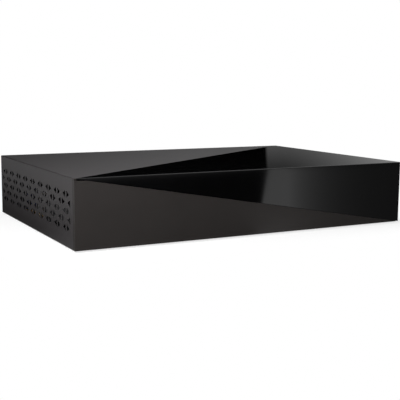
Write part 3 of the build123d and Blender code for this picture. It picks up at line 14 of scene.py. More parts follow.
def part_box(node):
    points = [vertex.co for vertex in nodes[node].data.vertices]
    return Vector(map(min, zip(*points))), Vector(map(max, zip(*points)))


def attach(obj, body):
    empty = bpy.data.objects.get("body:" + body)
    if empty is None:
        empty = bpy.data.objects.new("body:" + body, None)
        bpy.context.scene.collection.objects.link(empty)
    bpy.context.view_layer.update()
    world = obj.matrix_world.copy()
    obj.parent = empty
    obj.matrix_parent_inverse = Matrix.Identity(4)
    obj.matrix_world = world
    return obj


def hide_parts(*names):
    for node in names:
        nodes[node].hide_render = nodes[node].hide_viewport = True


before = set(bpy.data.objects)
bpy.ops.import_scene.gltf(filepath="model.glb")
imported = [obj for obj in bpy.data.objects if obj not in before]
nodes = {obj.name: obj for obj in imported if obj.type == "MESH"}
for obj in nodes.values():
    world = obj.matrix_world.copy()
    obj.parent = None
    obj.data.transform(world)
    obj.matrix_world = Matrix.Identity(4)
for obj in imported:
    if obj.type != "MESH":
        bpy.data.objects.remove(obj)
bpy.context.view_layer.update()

MM = 0.001
JOINED = 0.002 * MM
HOUSING = "housing"
BLACK, WHITE = (0.0, 0.0, 0.0), (1.0, 1.0, 1.0)


# Finishes
class Signal:
    """A shader value that sums, products and powers can be written with."""

    def __init__(self, shader, socket):
        self.shader = shader
        self.socket = socket

    def math(self, operation, *values):
        node = self.shader.node("ShaderNodeMath", {"operation": operation}, dict(enumerate(values)))
        return Signal(self.shader, node.outputs[0])

    def __add__(self, other):
        return self.math("ADD", self, other)

    def __radd__(self, other):
        return self.math("ADD", other, self)

    def __sub__(self, other):
        return self.math("SUBTRACT", self, other)

    def __rsub__(self, other):
        return self.math("SUBTRACT", other, self)

    def __mul__(self, other):
        return self.math("MULTIPLY", self, other)

    def __rmul__(self, other):
        return self.math("MULTIPLY", other, self)

    def __truediv__(self, other):
        return self.math("DIVIDE", self, other)

    def __rtruediv__(self, other):
        return self.math("DIVIDE", other, self)

    def __pow__(self, other):
        return self.math("POWER", self, other)

    def __rpow__(self, other):
        return self.math("POWER", other, self)

    def __abs__(self):
        return self.math("ABSOLUTE", self)

    def at_least(self, limit):
        return self.math("MAXIMUM", self, limit)

    def at_most(self, limit):
        return self.math("MINIMUM", self, limit)

    def above(self, level, softness):
        """0 below a level and 1 above it, with a soft step that reaches as far to both sides."""
        settings = {"interpolation_type": "SMOOTHSTEP", "clamp": True}
        sockets = {"Value": self, "From Min": level - softness, "From Max": level + softness}
        step = self.shader.node("ShaderNodeMapRange", settings, sockets)
        return Signal(self.shader, step.outputs["Result"])

    def wave(self):
        return self.math("SINE", self)

    def fading(self, distance):
        """Falls from 1 to 1/e over a distance."""
        return self.math("EXPONENT", self * (-1 / distance))


class Shader:
    """A tree of nodes that all come from one method."""

    def __init__(self, tree):
        self.tree = tree

    def node(self, kind, settings=None, sockets=None):
        """A node whose settings are made first, and whose sockets take values or links."""
        node = self.tree.nodes.new(kind)
        for key, value in (settings or {}).items():
            setattr(node, key, value)
        for key, value in (sockets or {}).items():
            self.join(value, node.inputs[key])
        return node

    def join(self, value, socket):
        """Links a socket to a signal or to another node's socket, or gives it a plain value."""
        if isinstance(value, Signal):
            value = value.socket
        if isinstance(value, bpy.types.NodeSocket):
            self.tree.links.new(value, socket)
        else:
            socket.default_value = value

    def seen(self):
        """1 for what the camera, gloss or glass sees directly, 0 for light that falls on the object."""
        path = self.node("ShaderNodeLightPath").outputs
        rays = [Signal(self, path[f"Is {kind} Ray"]) for kind in ("Camera", "Glossy", "Transmission")]
        return (rays[0] + rays[1] + rays[2]).at_most(1.0)

    def either(self, factor, first, second):
        """One shader where the factor is 0 and another where it is 1."""
        return self.node("ShaderNodeMixShader", None, {"Fac": factor, 1: first, 2: second}).outputs[0]


class Finish(Shader):
    """One material: its surface constants, and the nodes that vary it."""

    def __init__(self, name, colour, roughness, **constants):
        self.material = bpy.data.materials.new(name)
        self.material.use_nodes = True
        super().__init__(self.material.node_tree)
        self.surface = self.tree.nodes["Principled BSDF"]
        self.place = self.node("ShaderNodeTexCoord").outputs["Object"]
        self.set(Base_Color=(*colour, 1.0), Roughness=roughness, **constants)

    def set(self, **sockets):
        """Gives the surface's sockets, named with underscores for spaces, values or links."""
        for key, value in sockets.items():
            self.join(value, self.surface.inputs[key.replace("_", " ")])
        return self

    def along(self, axis):
        """The object's own coordinate on one axis, in metres."""
        return Signal(self, self.node("ShaderNodeSeparateXYZ", None, {"Vector": self.place}).outputs[axis])

    def noise(self, size, detail=2.0, stretch=None):
        """Smooth noise from 0 to 1 with features about size across, longer on an axis stretched under 1."""
        place = self.place
        if stretch:
            place = self.node("ShaderNodeMapping", None, {"Vector": place, "Scale": stretch}).outputs[0]
        sockets = {"Vector": place, "Scale": 1 / size, "Detail": detail, "Roughness": 0.55}
        return Signal(self, self.node("ShaderNodeTexNoise", None, sockets).outputs["Fac"])

    def cells(self, size, randomness=1.0):
        """Distance to the nearest of scattered points, from 0 at a point."""
        sockets = {"Vector": self.place, "Scale": 1 / size, "Randomness": randomness}
        return Signal(self, self.node("ShaderNodeTexVoronoi", None, sockets).outputs["Distance"])

    def mix(self, factor, first, second):
        """One colour where the factor is 0 and another where it is 1."""
        node = self.node("ShaderNodeMix", {"data_type": "RGBA"}, {"Factor": factor})
        for key, value in (("A", first), ("B", second)):
            colour = value if isinstance(value, bpy.types.NodeSocket) else (*value, 1.0)
            socket = [s for s in node.inputs if s.name == key and s.type == "RGBA"][0]
            self.join(colour, socket)
        return [s for s in node.outputs if s.type == "RGBA"][0]

    def bump(self, height, depth, strength=1.0):
        """Relief whose height runs from 0 to depth."""
        sockets = {"Height": height, "Distance": depth, "Strength": strength}
        return self.set(Normal=self.node("ShaderNodeBump", None, sockets).outputs["Normal"])


def toned(colour, factor):
    """A colour made darker or paler."""
    return tuple(part * factor for part in colour)


def moulded(name, colour, roughness, grain=0.35 * MM, relief=0.02 * MM, **constants):
    """Plastic with a fine spark-eroded grain and large pale clouds."""
    finish = Finish(name, colour, roughness, **constants)
    speckle = finish.noise(grain, detail=3.0)
    cloud = finish.noise(30 * MM)
    pale = tuple(min(1.0, part * 1.35 + 0.004) for part in colour)
    finish.set(
        Base_Color=finish.mix(cloud * 0.5 + speckle * 0.3, colour, pale),
        Roughness=roughness + (speckle - 0.5) * 0.12,
    )
    return finish.bump(speckle, relief)


def polished(name, colour):
    """Glossy moulded plastic with faint haze."""
    finish = Finish(name, colour, 0.12, Coat_Weight=0.6, Coat_Roughness=0.04)
    haze = finish.noise(12 * MM, detail=4.0)
    finish.set(Base_Color=finish.mix(haze, colour, toned(colour, 0.8)), Roughness=0.1 + haze * 0.12)
    return finish.bump(finish.noise(4 * MM), 0.01 * MM)


def drawn_metal(name, colour, roughness, stretch):
    """Sheet metal with rolling marks along the axis that the grain is stretched on."""
    finish = Finish(name, colour, roughness, Metallic=1.0)
    lines = finish.noise(0.4 * MM, detail=4.0, stretch=stretch)
    stain = finish.noise(25 * MM, detail=3.0)
    finish.set(
        Base_Color=finish.mix(lines * 0.5 + stain * 0.5, colour, toned(colour, 0.78)),
        Roughness=roughness + (lines - 0.5) * 0.22 + (stain - 0.5) * 0.1,
    )
    return finish.bump(lines, 0.004 * MM)


def turned_metal(name, colour, roughness):
    """Machined or plated metal with fine tool marks and a little tarnish."""
    finish = Finish(name, colour, roughness, Metallic=1.0)
    marks = finish.noise(0.25 * MM, stretch=(0.2, 1.0, 0.2))
    tarnish = finish.noise(3 * MM, detail=4.0)
    finish.set(
        Base_Color=finish.mix(tarnish * 0.7, colour, toned(colour, 0.7)),
        Roughness=roughness + tarnish * 0.14 + (marks - 0.5) * 0.08,
    )
    return finish.bump(marks, 0.002 * MM)


def satin_coat(name, colour, roughness, grain):
    """Powder coat on steel: a soft sheen broken by a fine even grain over a faint ripple."""
    finish = Finish(name, colour, roughness, Specular_IOR_Level=0.25)
    speckle = finish.noise(grain, detail=3.0)
    ripple = finish.noise(2.6 * MM)
    cloud = finish.noise(60 * MM)
    finish.set(
        Base_Color=finish.mix(cloud * 0.6 + speckle * 0.4, colour, toned(colour, 1.25)),
        Roughness=roughness + (speckle - 0.5) * 0.1,
    )
    return finish.bump(speckle * 0.7 + ripple * 0.3, 0.012 * MM)


def board_laminate(name, base, copper, roughness, pitch):
    """Laminate under solder mask: copper lines that run two ways below the mask, and their tinned pads."""
    finish = Finish(name, base, roughness)
    turn = 2 * math.pi / pitch
    patch = finish.cells(11 * MM).above(0.42, 0.02)
    across = (finish.along("X") * turn).wave().above(0.35, 0.15) * patch
    along = (finish.along("Y") * turn).wave().above(0.35, 0.15) * (1 - patch)
    island = finish.noise(17 * MM).above(0.44, 0.01)
    lines = (across + along) * island
    pads = 1 - finish.cells(2.6 * MM, randomness=0.6).above(0.16, 0.02)
    masked = finish.mix(lines, base, copper)
    finish.set(
        Base_Color=finish.mix(pads, masked, (0.62, 0.6, 0.55)),
        Roughness=roughness + pads * 0.1 - lines * 0.06,
        Metallic=pads,
    )
    return finish.bump(lines * 0.6 + pads, 0.03 * MM)


def cable(name, colour):
    """Flexible lead sleeving with parallel conductors showing through."""
    finish = Finish(name, colour, 0.46)
    cores = finish.noise(1.2 * MM, detail=1.0, stretch=(1.0, 1.0, 0.05))
    finish.set(Base_Color=finish.mix(cores, toned(colour, 0.6), colour), Roughness=0.4 + cores * 0.15)
    return finish.bump(cores, 0.06 * MM)


cover_paint = satin_coat("cover_satin_paint", (0.026, 0.0236, 0.0246), 0.46, 0.3 * MM)
front_matte = moulded("front_matte_plastic", (0.016, 0.0138, 0.013), 0.5, Specular_IOR_Level=0.25)
panel_paint = satin_coat("panel_black_paint", (0.022, 0.022, 0.023), 0.5, 0.45 * MM)
# Painted shade: the vents' cut walls get this near-black instead of the cover's paint, so the holes look dark
painted_shade_walls = moulded("vent_walls_painted_shade", (0.004, 0.004, 0.004), 0.8, Specular_IOR_Level=0.05)

front_gloss = Finish("front_gloss_plastic", (0.002, 0.002, 0.0022), 0.05)
hairline = front_gloss.noise(0.5 * MM, detail=4.0, stretch=(0.05, 1.0, 1.0))
clouded = front_gloss.mix(front_gloss.noise(40 * MM), (0.0012, 0.0012, 0.0013), (0.0024, 0.0024, 0.0026))
front_gloss.set(Base_Color=clouded, Roughness=0.045 + hairline * 0.03)
front_gloss.bump(front_gloss.noise(30 * MM), 0.01 * MM, strength=0.3)

zinc_sheet = drawn_metal("zinc_plated_sheet", (0.62, 0.63, 0.64), 0.34, (1.0, 0.04, 1.0))
tinplate = drawn_metal("tinned_sheet", (0.72, 0.71, 0.68), 0.26, (0.06, 1.0, 1.0))
fin_metal = drawn_metal("extruded_aluminium", (0.74, 0.74, 0.75), 0.38, (1.0, 0.03, 1.0))
drive_steel = drawn_metal("drive_cover_steel", (0.66, 0.66, 0.67), 0.3, (0.04, 1.0, 1.0))
nickel = turned_metal("nickel_plate", (0.74, 0.7, 0.62), 0.2)
contact_gold = turned_metal("contact_gold", (0.9, 0.62, 0.24), 0.24)
bright_zinc = turned_metal("zinc_screw", (0.72, 0.73, 0.75), 0.26)
black_oxide = turned_metal("black_screw", (0.06, 0.06, 0.065), 0.34)
hub_metal = turned_metal("hub_aluminium", (0.72, 0.72, 0.74), 0.22)
magnet_nickel = turned_metal("magnet_nickel", (0.66, 0.65, 0.62), 0.24)
drive_casting = turned_metal("drive_casting", (0.24, 0.245, 0.25), 0.42)
drive_casting.bump(drive_casting.noise(0.5 * MM, detail=3.0), 0.05 * MM)
disk_mirror = Finish("disk_mirror", (0.82, 0.82, 0.84), 0.03, Metallic=1.0)
disk_mirror.set(Roughness=0.02 + disk_mirror.noise(6 * MM) * 0.04)
coil_copper = Finish("coil_copper", (0.72, 0.3, 0.12), 0.3, Metallic=1.0, Coat_Weight=0.4)
windings = coil_copper.noise(0.3 * MM, stretch=(1.0, 1.0, 0.2))
coil_copper.set(Base_Color=coil_copper.mix(windings, (0.78, 0.34, 0.14), (0.5, 0.17, 0.06)))
coil_copper.bump(windings, 0.05 * MM)

socket_black = moulded("socket_black_plastic", (0.012, 0.012, 0.013), 0.45)
shutter_grey = moulded("shutter_grey_plastic", (0.08, 0.08, 0.085), 0.5)
fan_plastic = moulded("fan_black_plastic", (0.014, 0.014, 0.015), 0.4)
core_white = moulded("jack_core_plastic", (0.82, 0.81, 0.77), 0.42, relief=0.008 * MM)
foot_rubber = moulded("foot_rubber", (0.02, 0.02, 0.02), 0.72, 0.5 * MM, 0.05 * MM)
grommet_rubber = moulded("grommet_rubber", (0.1, 0.1, 0.11), 0.7, 0.5 * MM, 0.04 * MM)
chip_black = moulded("chip_epoxy", (0.018, 0.018, 0.019), 0.52, 0.25 * MM, 0.01 * MM)
transformer_core = moulded("ferrite_core", (0.06, 0.055, 0.055), 0.55, 0.3 * MM, 0.02 * MM)
ring_red = polished("collar_red", (0.55, 0.015, 0.015))
ring_green = polished("collar_green", (0.012, 0.28, 0.05))
ring_blue = polished("collar_blue", (0.015, 0.06, 0.42))
ring_white = polished("collar_white", (0.8, 0.8, 0.77))
ring_yellow = polished("collar_yellow", (0.82, 0.52, 0.02))
capacitor_sleeve = polished("capacitor_sleeve", (0.012, 0.016, 0.05))
winding_tape = polished("winding_tape", (0.05, 0.04, 0.03))
lamp_clear = Finish("clear_lens", (0.82, 0.84, 0.86), 0.14, Transmission_Weight=0.75, IOR=1.49)
lamp_clear.set(Roughness=0.1 + lamp_clear.noise(1.5 * MM) * 0.12)

board_green = board_laminate("board_green_mask", (0.008, 0.075, 0.03), (0.02, 0.16, 0.06), 0.32, 1.1 * MM)
board_tan = board_laminate("board_tan_laminate", (0.2, 0.125, 0.05), (0.26, 0.17, 0.075), 0.48, 2.4 * MM)
cable_grey = cable("ribbon_grey", (0.42, 0.42, 0.43))
cable_red = cable("drive_lead_red", (0.45, 0.02, 0.02))
cable_cream = cable("harness_cream", (0.66, 0.6, 0.45))
lead_brown = cable("mains_lead_brown", (0.1, 0.035, 0.018))


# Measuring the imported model, in millimetres
def extent(name):
    """The lowest and highest corner of a CAD node."""
    return [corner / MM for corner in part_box(name)]


def solids(name):
    """Each separate solid of a CAD node, in a fixed order: its lowest corner, highest corner and points."""
    shape = bmesh.new()
    shape.from_mesh(nodes[name].data)
    bmesh.ops.remove_doubles(shape, verts=shape.verts, dist=JOINED)
    found, reached = [], set()
    for start in shape.verts:
        if start in reached:
            continue
        points, waiting = [], [start]
        reached.add(start)
        while waiting:
            vert = waiting.pop()
            points.append(vert.co / MM)
            for edge in vert.link_edges:
                other = edge.other_vert(vert)
                if other not in reached:
                    reached.add(other)
                    waiting.append(other)
        low = Vector([min(point[axis] for point in points) for axis in range(3)])
        high = Vector([max(point[axis] for point in points) for axis in range(3)])
        found.append((low, high, points))
    shape.free()
    return sorted(found, key=lambda solid: tuple(round(value, 2) for value in solid[0]))


def side_by_side(middle, count, pitch):
    """The places of a row of equal things on one axis."""
    return [middle + (step - (count - 1) / 2) * pitch for step in range(count)]


# Making and placing of pieces
FACINGS = {
    "up": Matrix.Identity(4), "down": Matrix.Rotation(math.pi, 4, "X"),
    "rear": Matrix.Rotation(-math.pi / 2, 4, "X"), "front": Matrix.Rotation(math.pi / 2, 4, "X"),
}


def at(x, y, z, facing="up", turn=0.0, scale=1.0):
    """The matrix that puts a shape made upright round Z at a place in millimetres, facing one way."""
    spin = Matrix.Rotation(math.radians(turn), 4, "Z")
    return Matrix.Translation((x * MM, y * MM, z * MM)) @ FACINGS[facing] @ spin @ Matrix.Scale(scale, 4)


def carried(node):
    """A merged copy of a CAD node, with its flat faces joined, ready for its edges to be finished."""
    shape = bmesh.new()
    shape.from_mesh(nodes[node].data)
    bmesh.ops.remove_doubles(shape, verts=shape.verts, dist=JOINED)
    bmesh.ops.dissolve_limit(shape, angle_limit=math.radians(0.5), verts=shape.verts, edges=shape.edges)
    return shape


def broken(shape, width, angle=25.0, segments=2, keep=None):
    """Rounds the edges sharper than an angle in degrees, or those of them that keep lets through."""
    limit = math.radians(angle)
    edges = [
        edge for edge in shape.edges
        if edge.is_manifold and edge.calc_face_angle(0) > limit and (not keep or keep(edge))
    ]
    bmesh.ops.bevel(
        shape, geom=edges, offset=width * MM, offset_type="OFFSET", affect="EDGES", segments=segments,
        profile=0.5, material=-1, clamp_overlap=True, miter_outer="SHARP", loop_slide=True,
    )
    return shape


def merged(shape, source, matrix=Matrix.Identity(4)):
    """Adds a moved copy of one shape to another."""
    twin = source.copy()
    bmesh.ops.transform(twin, matrix=matrix, verts=twin.verts)
    mesh = bpy.data.meshes.new("copy")
    twin.to_mesh(mesh)
    twin.free()
    shape.from_mesh(mesh)
    bpy.data.meshes.remove(mesh)
    return shape


def turned(profile, steps=32):
    """A shape spun round Z from (radius, height) points in millimetres."""
    shape = bmesh.new()
    verts = [shape.verts.new((radius * MM, 0, height * MM)) for radius, height in profile]
    edges = [shape.edges.new(pair) for pair in zip(verts, verts[1:])]
    bmesh.ops.spin(
        shape, geom=verts + edges, axis=(0, 0, 1), cent=(0, 0, 0), angle=2 * math.pi, steps=steps,
        use_merge=True,
    )
    bmesh.ops.remove_doubles(shape, verts=shape.verts, dist=JOINED)
    bmesh.ops.recalc_face_normals(shape, faces=shape.faces)
    return shape


def slab(width, depth, height, round_by=0.3, corner=0.0):
    """A block standing on Z = 0, sizes in millimetres, with its upright corners and its edges rounded."""
    shape = bmesh.new()
    bmesh.ops.create_cube(shape, size=1.0)
    bmesh.ops.scale(shape, vec=(width * MM, depth * MM, height * MM), verts=shape.verts)
    bmesh.ops.translate(shape, vec=(0, 0, height / 2 * MM), verts=shape.verts)
    if corner:
        uprights = [e for e in shape.edges if abs(e.verts[0].co.z - e.verts[1].co.z) > height / 2 * MM]
        bmesh.ops.bevel(
            shape, geom=uprights, offset=corner * MM, offset_type="OFFSET", affect="EDGES", segments=4,
            profile=0.5, material=-1,
        )
    return broken(shape, round_by, 40.0)


def piece(shape, name, finish, slot, *stands_for, body=HOUSING, smooth=32.0):
    """A finished object from a bmesh: named, dressed, riding its body and standing for its CAD nodes."""
    mesh = bpy.data.meshes.new(name)
    shape.to_mesh(mesh)
    shape.free()
    item = bpy.data.objects.new(name, mesh)
    bpy.context.scene.collection.objects.link(item)
    for look in finish if isinstance(finish, tuple) else (finish,):
        mesh.materials.append(look.material)
    mesh.shade_smooth()
    mesh.set_sharp_from_angle(angle=math.radians(smooth))
    item.modifiers.new("even_shading", "WEIGHTED_NORMAL").keep_sharp = True
    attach(item, body)
    if stands_for:
        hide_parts(*stands_for)


def softened(node, width, name, finish, slot, angle=25.0, segments=2, body=HOUSING):
    """A CAD node's own shape with its edges rounded by a width in millimetres, standing for that node."""
    piece(broken(carried(node), width, angle, segments), name, finish, slot, node, body=body)


# Case: the satin cover, the folded gloss fascia, the matte bezel, the rear panel and the pan
PANEL = extent("rear_panel")[1].y
BOARD_TOP = extent("main_board")[1].z
SIDE = extent("top_cover")[1].x
COVER_GAUGE = extent("top_cover")[1].y - PANEL

# The cut walls of the vents lie between these heights and are smaller than this area
VENT_LOW, VENT_HIGH, VENT_WALL_AREA = 12, 60, 12


def pierced(shape, wider, flare):
    """Opens the vents of the cover's sides by moving their cut walls back, further inside than outside, and
    gives the walls the second finish, a near-black painted shade.
    """
    inside, middle = (SIDE - COVER_GAUGE - 0.1) * MM, (SIDE - COVER_GAUGE / 2) * MM
    moves = {}
    for vert in shape.verts:
        walls = [
            face for face in vert.link_faces
            if abs(face.normal.x) < 0.1 and all(abs(other.co.x) > inside for other in face.verts)
            and VENT_LOW * MM < face.calc_center_median().z < VENT_HIGH * MM
            and face.calc_area() < VENT_WALL_AREA * MM * MM
        ]
        if len(walls) == 2:
            one, two = walls[0].normal, walls[1].normal
            apart = wider * MM if abs(vert.co.x) > middle else (wider + flare) * MM
            moves[vert] = -(one + two) * apart / (1 + one.dot(two))
            # The walls get material 1, a near-black painted shade
            walls[0].material_index = walls[1].material_index = 1
    for vert, move in moves.items():
        vert.co += move
    return shape


# The vents' cut walls take the second finish, a near-black painted shade
cover = broken(pierced(carried("top_cover"), wider=0.3, flare=0.8), 0.1)
piece(cover, "satin_cover", (cover_paint, painted_shade_walls), "cover_paint", "top_cover")
softened("gloss_fascia", 0.13, "folded_fascia", front_gloss, "front_gloss")
softened("front_bezel", 0.2, "matte_bezel", front_matte, "front_matte")
softened("rear_panel", 0.15, "jack_panel", panel_paint, "panel_paint")
softened("base_pan", 0.15, "floor_pan", zinc_sheet, "bare_steel")
softened("board_standoffs", 0.2, "board_posts", bright_zinc, "bare_steel")

feet = bmesh.new()
foot = turned(
    [(0, 0.5), (5.4, 0.5), (5.9, 0.1), (6.3, 0), (7.6, 0), (8.1, 0.35), (8.9, 1.6), (8.9, 2), (0, 2)], 40
)
for low, high, _ in solids("rubber_feet"):
    merged(feet, foot, at((low.x + high.x) / 2, (low.y + high.y) / 2, 0))
piece(feet, "feet", foot_rubber, "foot_rubber", "rubber_feet")

# Screws with a cross recess in a pan head, found by the head of the plain ones that they replace
HEAD_RADIUS, HEAD_HIGH, SHANK_RADIUS, THREAD_PITCH = 3.0, 1.8, 1.5, 0.5
PLAIN_HEAD_ACROSS, PAST_PLAIN_SHANK = 5.6, 2.2


def pan_screw(length):
    """A screw with its head standing on Z = 0 and its threaded shank below."""
    shape = bmesh.new()
    rim = bmesh.ops.create_circle(shape, cap_ends=False, radius=HEAD_RADIUS * MM, segments=24)["verts"]
    edges = list(dict.fromkeys(edge for vert in rim for edge in vert.link_edges))
    bottom = list(edges)
    for narrowing, lift in ((1.0, 0.42), (0.93, 0.3), (0.75, 0.28)):
        grown = bmesh.ops.extrude_edge_only(shape, edges=edges)["geom"]
        verts = [item for item in grown if isinstance(item, bmesh.types.BMVert)]
        edges = [
            item for item in grown
            if isinstance(item, bmesh.types.BMEdge) and all(vert in verts for vert in item.verts)
        ]
        bmesh.ops.translate(shape, vec=(0, 0, lift * HEAD_HIGH * MM), verts=verts)
        bmesh.ops.scale(shape, vec=(narrowing, narrowing, 1), verts=verts)

    arm, reach, depth, taper = 0.16 * HEAD_RADIUS * MM, 0.58 * HEAD_RADIUS * MM, 0.62 * HEAD_HIGH * MM, 0.72
    cross = bmesh.ops.create_grid(shape, x_segments=3, y_segments=3, size=1.0)["verts"]
    for vert in cross:
        vert.co = [math.copysign(arm if abs(value) < 0.5 else reach, value) for value in vert.co]
        vert.co.z = HEAD_HIGH * MM
    squares = dict.fromkeys(face for vert in cross for face in vert.link_faces)
    corners = [face for face in squares if min(abs(part) for part in face.calc_center_median().xy) > arm]
    bmesh.ops.delete(shape, geom=corners, context="FACES")
    arms = [face for face in shape.faces if all(vert in cross for vert in face.verts)]
    outline = [edge for face in arms for edge in face.edges if len(edge.link_faces) == 1]
    bmesh.ops.bridge_loops(shape, edges=edges + outline)
    sunken = bmesh.ops.extrude_face_region(shape, geom=arms)["geom"]
    recess = [item for item in sunken if isinstance(item, bmesh.types.BMVert)]
    bmesh.ops.translate(shape, vec=(0, 0, -depth), verts=recess)
    bmesh.ops.scale(shape, vec=(taper, taper, 1), verts=recess)
    bmesh.ops.delete(shape, geom=[face for face in arms if face.is_valid], context="FACES_ONLY")
    bmesh.ops.contextual_create(shape, geom=bottom)
    loose = [vert for vert in shape.verts if not vert.link_faces]
    bmesh.ops.delete(shape, geom=loose, context="VERTS")
    bmesh.ops.recalc_face_normals(shape, faces=shape.faces)

    neck, root, tip = 0.85 * SHANK_RADIUS, 0.82 * SHANK_RADIUS, 0.7 * SHANK_RADIUS
    points = [(0, 0), (neck, 0)]
    for step in range(int((length - 0.6) / THREAD_PITCH)):
        points += [(root, -step * THREAD_PITCH - 0.1), (SHANK_RADIUS, -step * THREAD_PITCH - 0.35)]
    points += [(tip, -length), (0, -length)]
    return merged(shape, turned(points, 12))


def dress_screws(node, name, finish, slot, scale=1.0):
    """Pan-head screws in the place of a node's plain ones, each facing and turned its own way."""
    shape = bmesh.new()
    for low, high, points in solids(node):
        size, middle = high - low, (low + high) / 2
        axis = max(range(3), key=lambda way: abs(size[way] - PLAIN_HEAD_ACROSS * scale))
        on_head = [
            point[axis] for point in points
            if math.dist(point, middle) ** 2 - (point - middle)[axis] ** 2 > (PAST_PLAIN_SHANK * scale) ** 2
        ]
        outward = sum(on_head) / len(on_head) > middle[axis]
        seat = middle.copy()
        seat[axis] = high[axis] - HEAD_HIGH * scale if outward else low[axis] + HEAD_HIGH * scale
        facing = {(1, True): "rear", (1, False): "front", (2, True): "up", (2, False): "down"}[axis, outward]
        turn = (sum(seat) * 37) % 90
        screw = pan_screw(size[axis] / scale - HEAD_HIGH)
        merged(shape, screw, at(*seat, facing, turn, scale))
        screw.free()
    piece(shape, name, finish, slot, node, smooth=38.0)


dress_screws("rear_screws", "rear_fixings", black_oxide, "black_screw")
dress_screws("chassis_screws", "chassis_fixings", bright_zinc, "zinc_screw")
dress_screws("lid_screws", "lid_fixings", bright_zinc, "zinc_screw", scale=0.7)


# Threaded aerial jacks: barrel, washer and nut, at heights above the panel's outer face
def on_panel(low, high, turn=0.0, proud=0.0):
    """The matrix for a round part that stands out of the rear panel in the place of a solid."""
    return at((low.x + high.x) / 2, PANEL + proud, (low.z + high.z) / 2, "rear", turn)


NUT_THICK, WASHER_THICK = 1.5, 0.5
root, crest, ridge_pitch = 4.3, 4.7, 0.8
thread = []
for ridge in range(10):
    top = 10.1 - ridge * ridge_pitch
    thread += [(root, top), (crest, top - 0.25), (crest, top - 0.5), (root, top - 0.75)]
barrel = turned(
    [(0, 1.5), (3.3, 1.5), (3.3, 10.1), (3.55, 10.5), (4.1, 10.5), (root, 10.3)] + thread
    + [(root, 2.0), (root, -1.15), (0, -1.15)], 40
)
nut = bmesh.new()
bmesh.ops.create_circle(nut, cap_ends=True, radius=6.6 * MM, segments=6)
grown = bmesh.ops.extrude_face_region(nut, geom=list(nut.faces))["geom"]
nut_top = [item for item in grown if isinstance(item, bmesh.types.BMVert)]
bmesh.ops.translate(nut, vec=(0, 0, NUT_THICK * MM), verts=nut_top)
bmesh.ops.translate(nut, vec=(0, 0, WASHER_THICK * MM), verts=nut.verts)
bmesh.ops.recalc_face_normals(nut, faces=nut.faces)
broken(nut, 0.28, 40.0)
washer = turned([
    (root, 0), (6.3, 0), (6.45, 0.12), (6.45, 0.38), (6.3, WASHER_THICK), (root, WASHER_THICK), (root, 0),
], 40)
insulator = turned([(0.55, 2), (3.2, 2), (3.2, 9.3), (3.0, 9.5), (0.75, 9.5), (0.55, 9.3), (0.55, 2)], 32)
spring = turned([(0, 2.2), (0.5, 2.2), (0.5, 9.0), (0.32, 9.0), (0.32, 4), (0, 4)], 16)

aerial_jacks, jack_cores, jack_contacts = bmesh.new(), bmesh.new(), bmesh.new()
for index, (low, high, _) in enumerate(solids("coax_jacks")):
    spot = on_panel(low, high, turn=11 + index * 23)
    for part in (barrel, nut, washer):
        merged(aerial_jacks, part, spot)
    merged(jack_cores, insulator, spot)
    merged(jack_contacts, spring, spot)
piece(aerial_jacks, "aerial_jacks", nickel, "jack_nickel", "coax_jacks")

# Phono jacks: plated shells, white cores with a sprung contact, and coloured collars
shell = turned([
    (3.55, -4), (4.15, -4), (4.15, 8.05), (4.0, 8.4), (3.8, 8.5), (3.62, 8.35), (3.55, 8.0), (3.55, -4),
], 40)
core = turned([(1.6, -3.9), (3.45, -3.9), (3.45, 7.5), (3.2, 7.8), (1.9, 7.8), (1.6, 7.5), (1.6, -3.9)], 32)
sleeve = turned([(0, -3), (1.55, -3), (1.55, 7.2), (1.3, 7.2), (1.3, -1), (0, -1)], 24)
collar = turned([
    (4.22, -1.15), (5.6, -1.15), (5.6, 1.7), (5.45, 2.05), (5.1, 2.2), (4.45, 2.2), (4.22, 2.0),
    (4.22, -1.15),
], 40)
phono_shells = bmesh.new()
for low, high, _ in solids("rca_shells"):
    spot = on_panel(low, high)
    merged(phono_shells, shell, spot)
    merged(jack_cores, core, spot)
    merged(jack_contacts, sleeve, spot)
piece(phono_shells, "phono_shells", nickel, "jack_nickel", "rca_shells")
piece(jack_cores, "jack_cores", core_white, "jack_core", "jack_insulators")
piece(jack_contacts, "jack_contacts", contact_gold, None)
for node, look in (
    ("rca_collars_red", ring_red), ("rca_collar_green", ring_green), ("rca_collar_blue", ring_blue),
    ("rca_collar_white", ring_white), ("rca_collar_yellow", ring_yellow),
):
    rings = bmesh.new()
    for low, high, _ in solids(node):
        merged(rings, collar, on_panel(low, high))
    slot = node.replace("rca_", "").replace("collars", "collar")
    piece(rings, node.replace("rca_", "phono_"), look, slot, node)

# Digital sockets: folded shells, tongues and their plated contacts
softened("hdmi_socket", 0.12, "picture_shell", nickel, "tinplate")
softened("usb_sockets", 0.12, "data_shells", nickel, "tinplate")
softened("socket_tongues", 0.1, "contact_tongues", socket_black, "socket_black")
softened("ethernet_jack", 0.18, "network_jack", socket_black, "socket_black")
softened("optical_socket", 0.18, "optical_block", socket_black, "socket_black")
softened("optical_shutter", 0.12, "optical_flap", shutter_grey, "shutter_grey", body="optical_flap")

contacts = bmesh.new()
FINGER, FINGER_INSET, WIRE = 8.0, 0.6, 9.5
finger = slab(0.45, FINGER, 0.08, 0.03)
picture_socket_left = extent("hdmi_socket")[0].x
for low, high, _ in solids("socket_tongues"):
    middle, back = (low.x + high.x) / 2, high.y - FINGER_INSET - FINGER / 2
    if low.x > picture_socket_left:
        for x in side_by_side(middle, 10, 1.0):
            merged(contacts, finger, at(x, back, high.z))
        for x in side_by_side(middle, 9, 1.0):
            merged(contacts, finger, at(x, back, low.z, "down"))
    else:
        for x in side_by_side(middle, 4, 2.5):
            merged(contacts, finger, at(x, back, low.z, "down", scale=1.05))
wire = slab(0.42, WIRE, 0.3, 0.1)
low, high = extent("ethernet_jack")
for x in side_by_side((low.x + high.x) / 2, 8, 1.1):
    merged(contacts, wire, at(x, high.y - 7.0, low.z + 10.35, "down"))
piece(contacts, "socket_contacts", contact_gold, None)


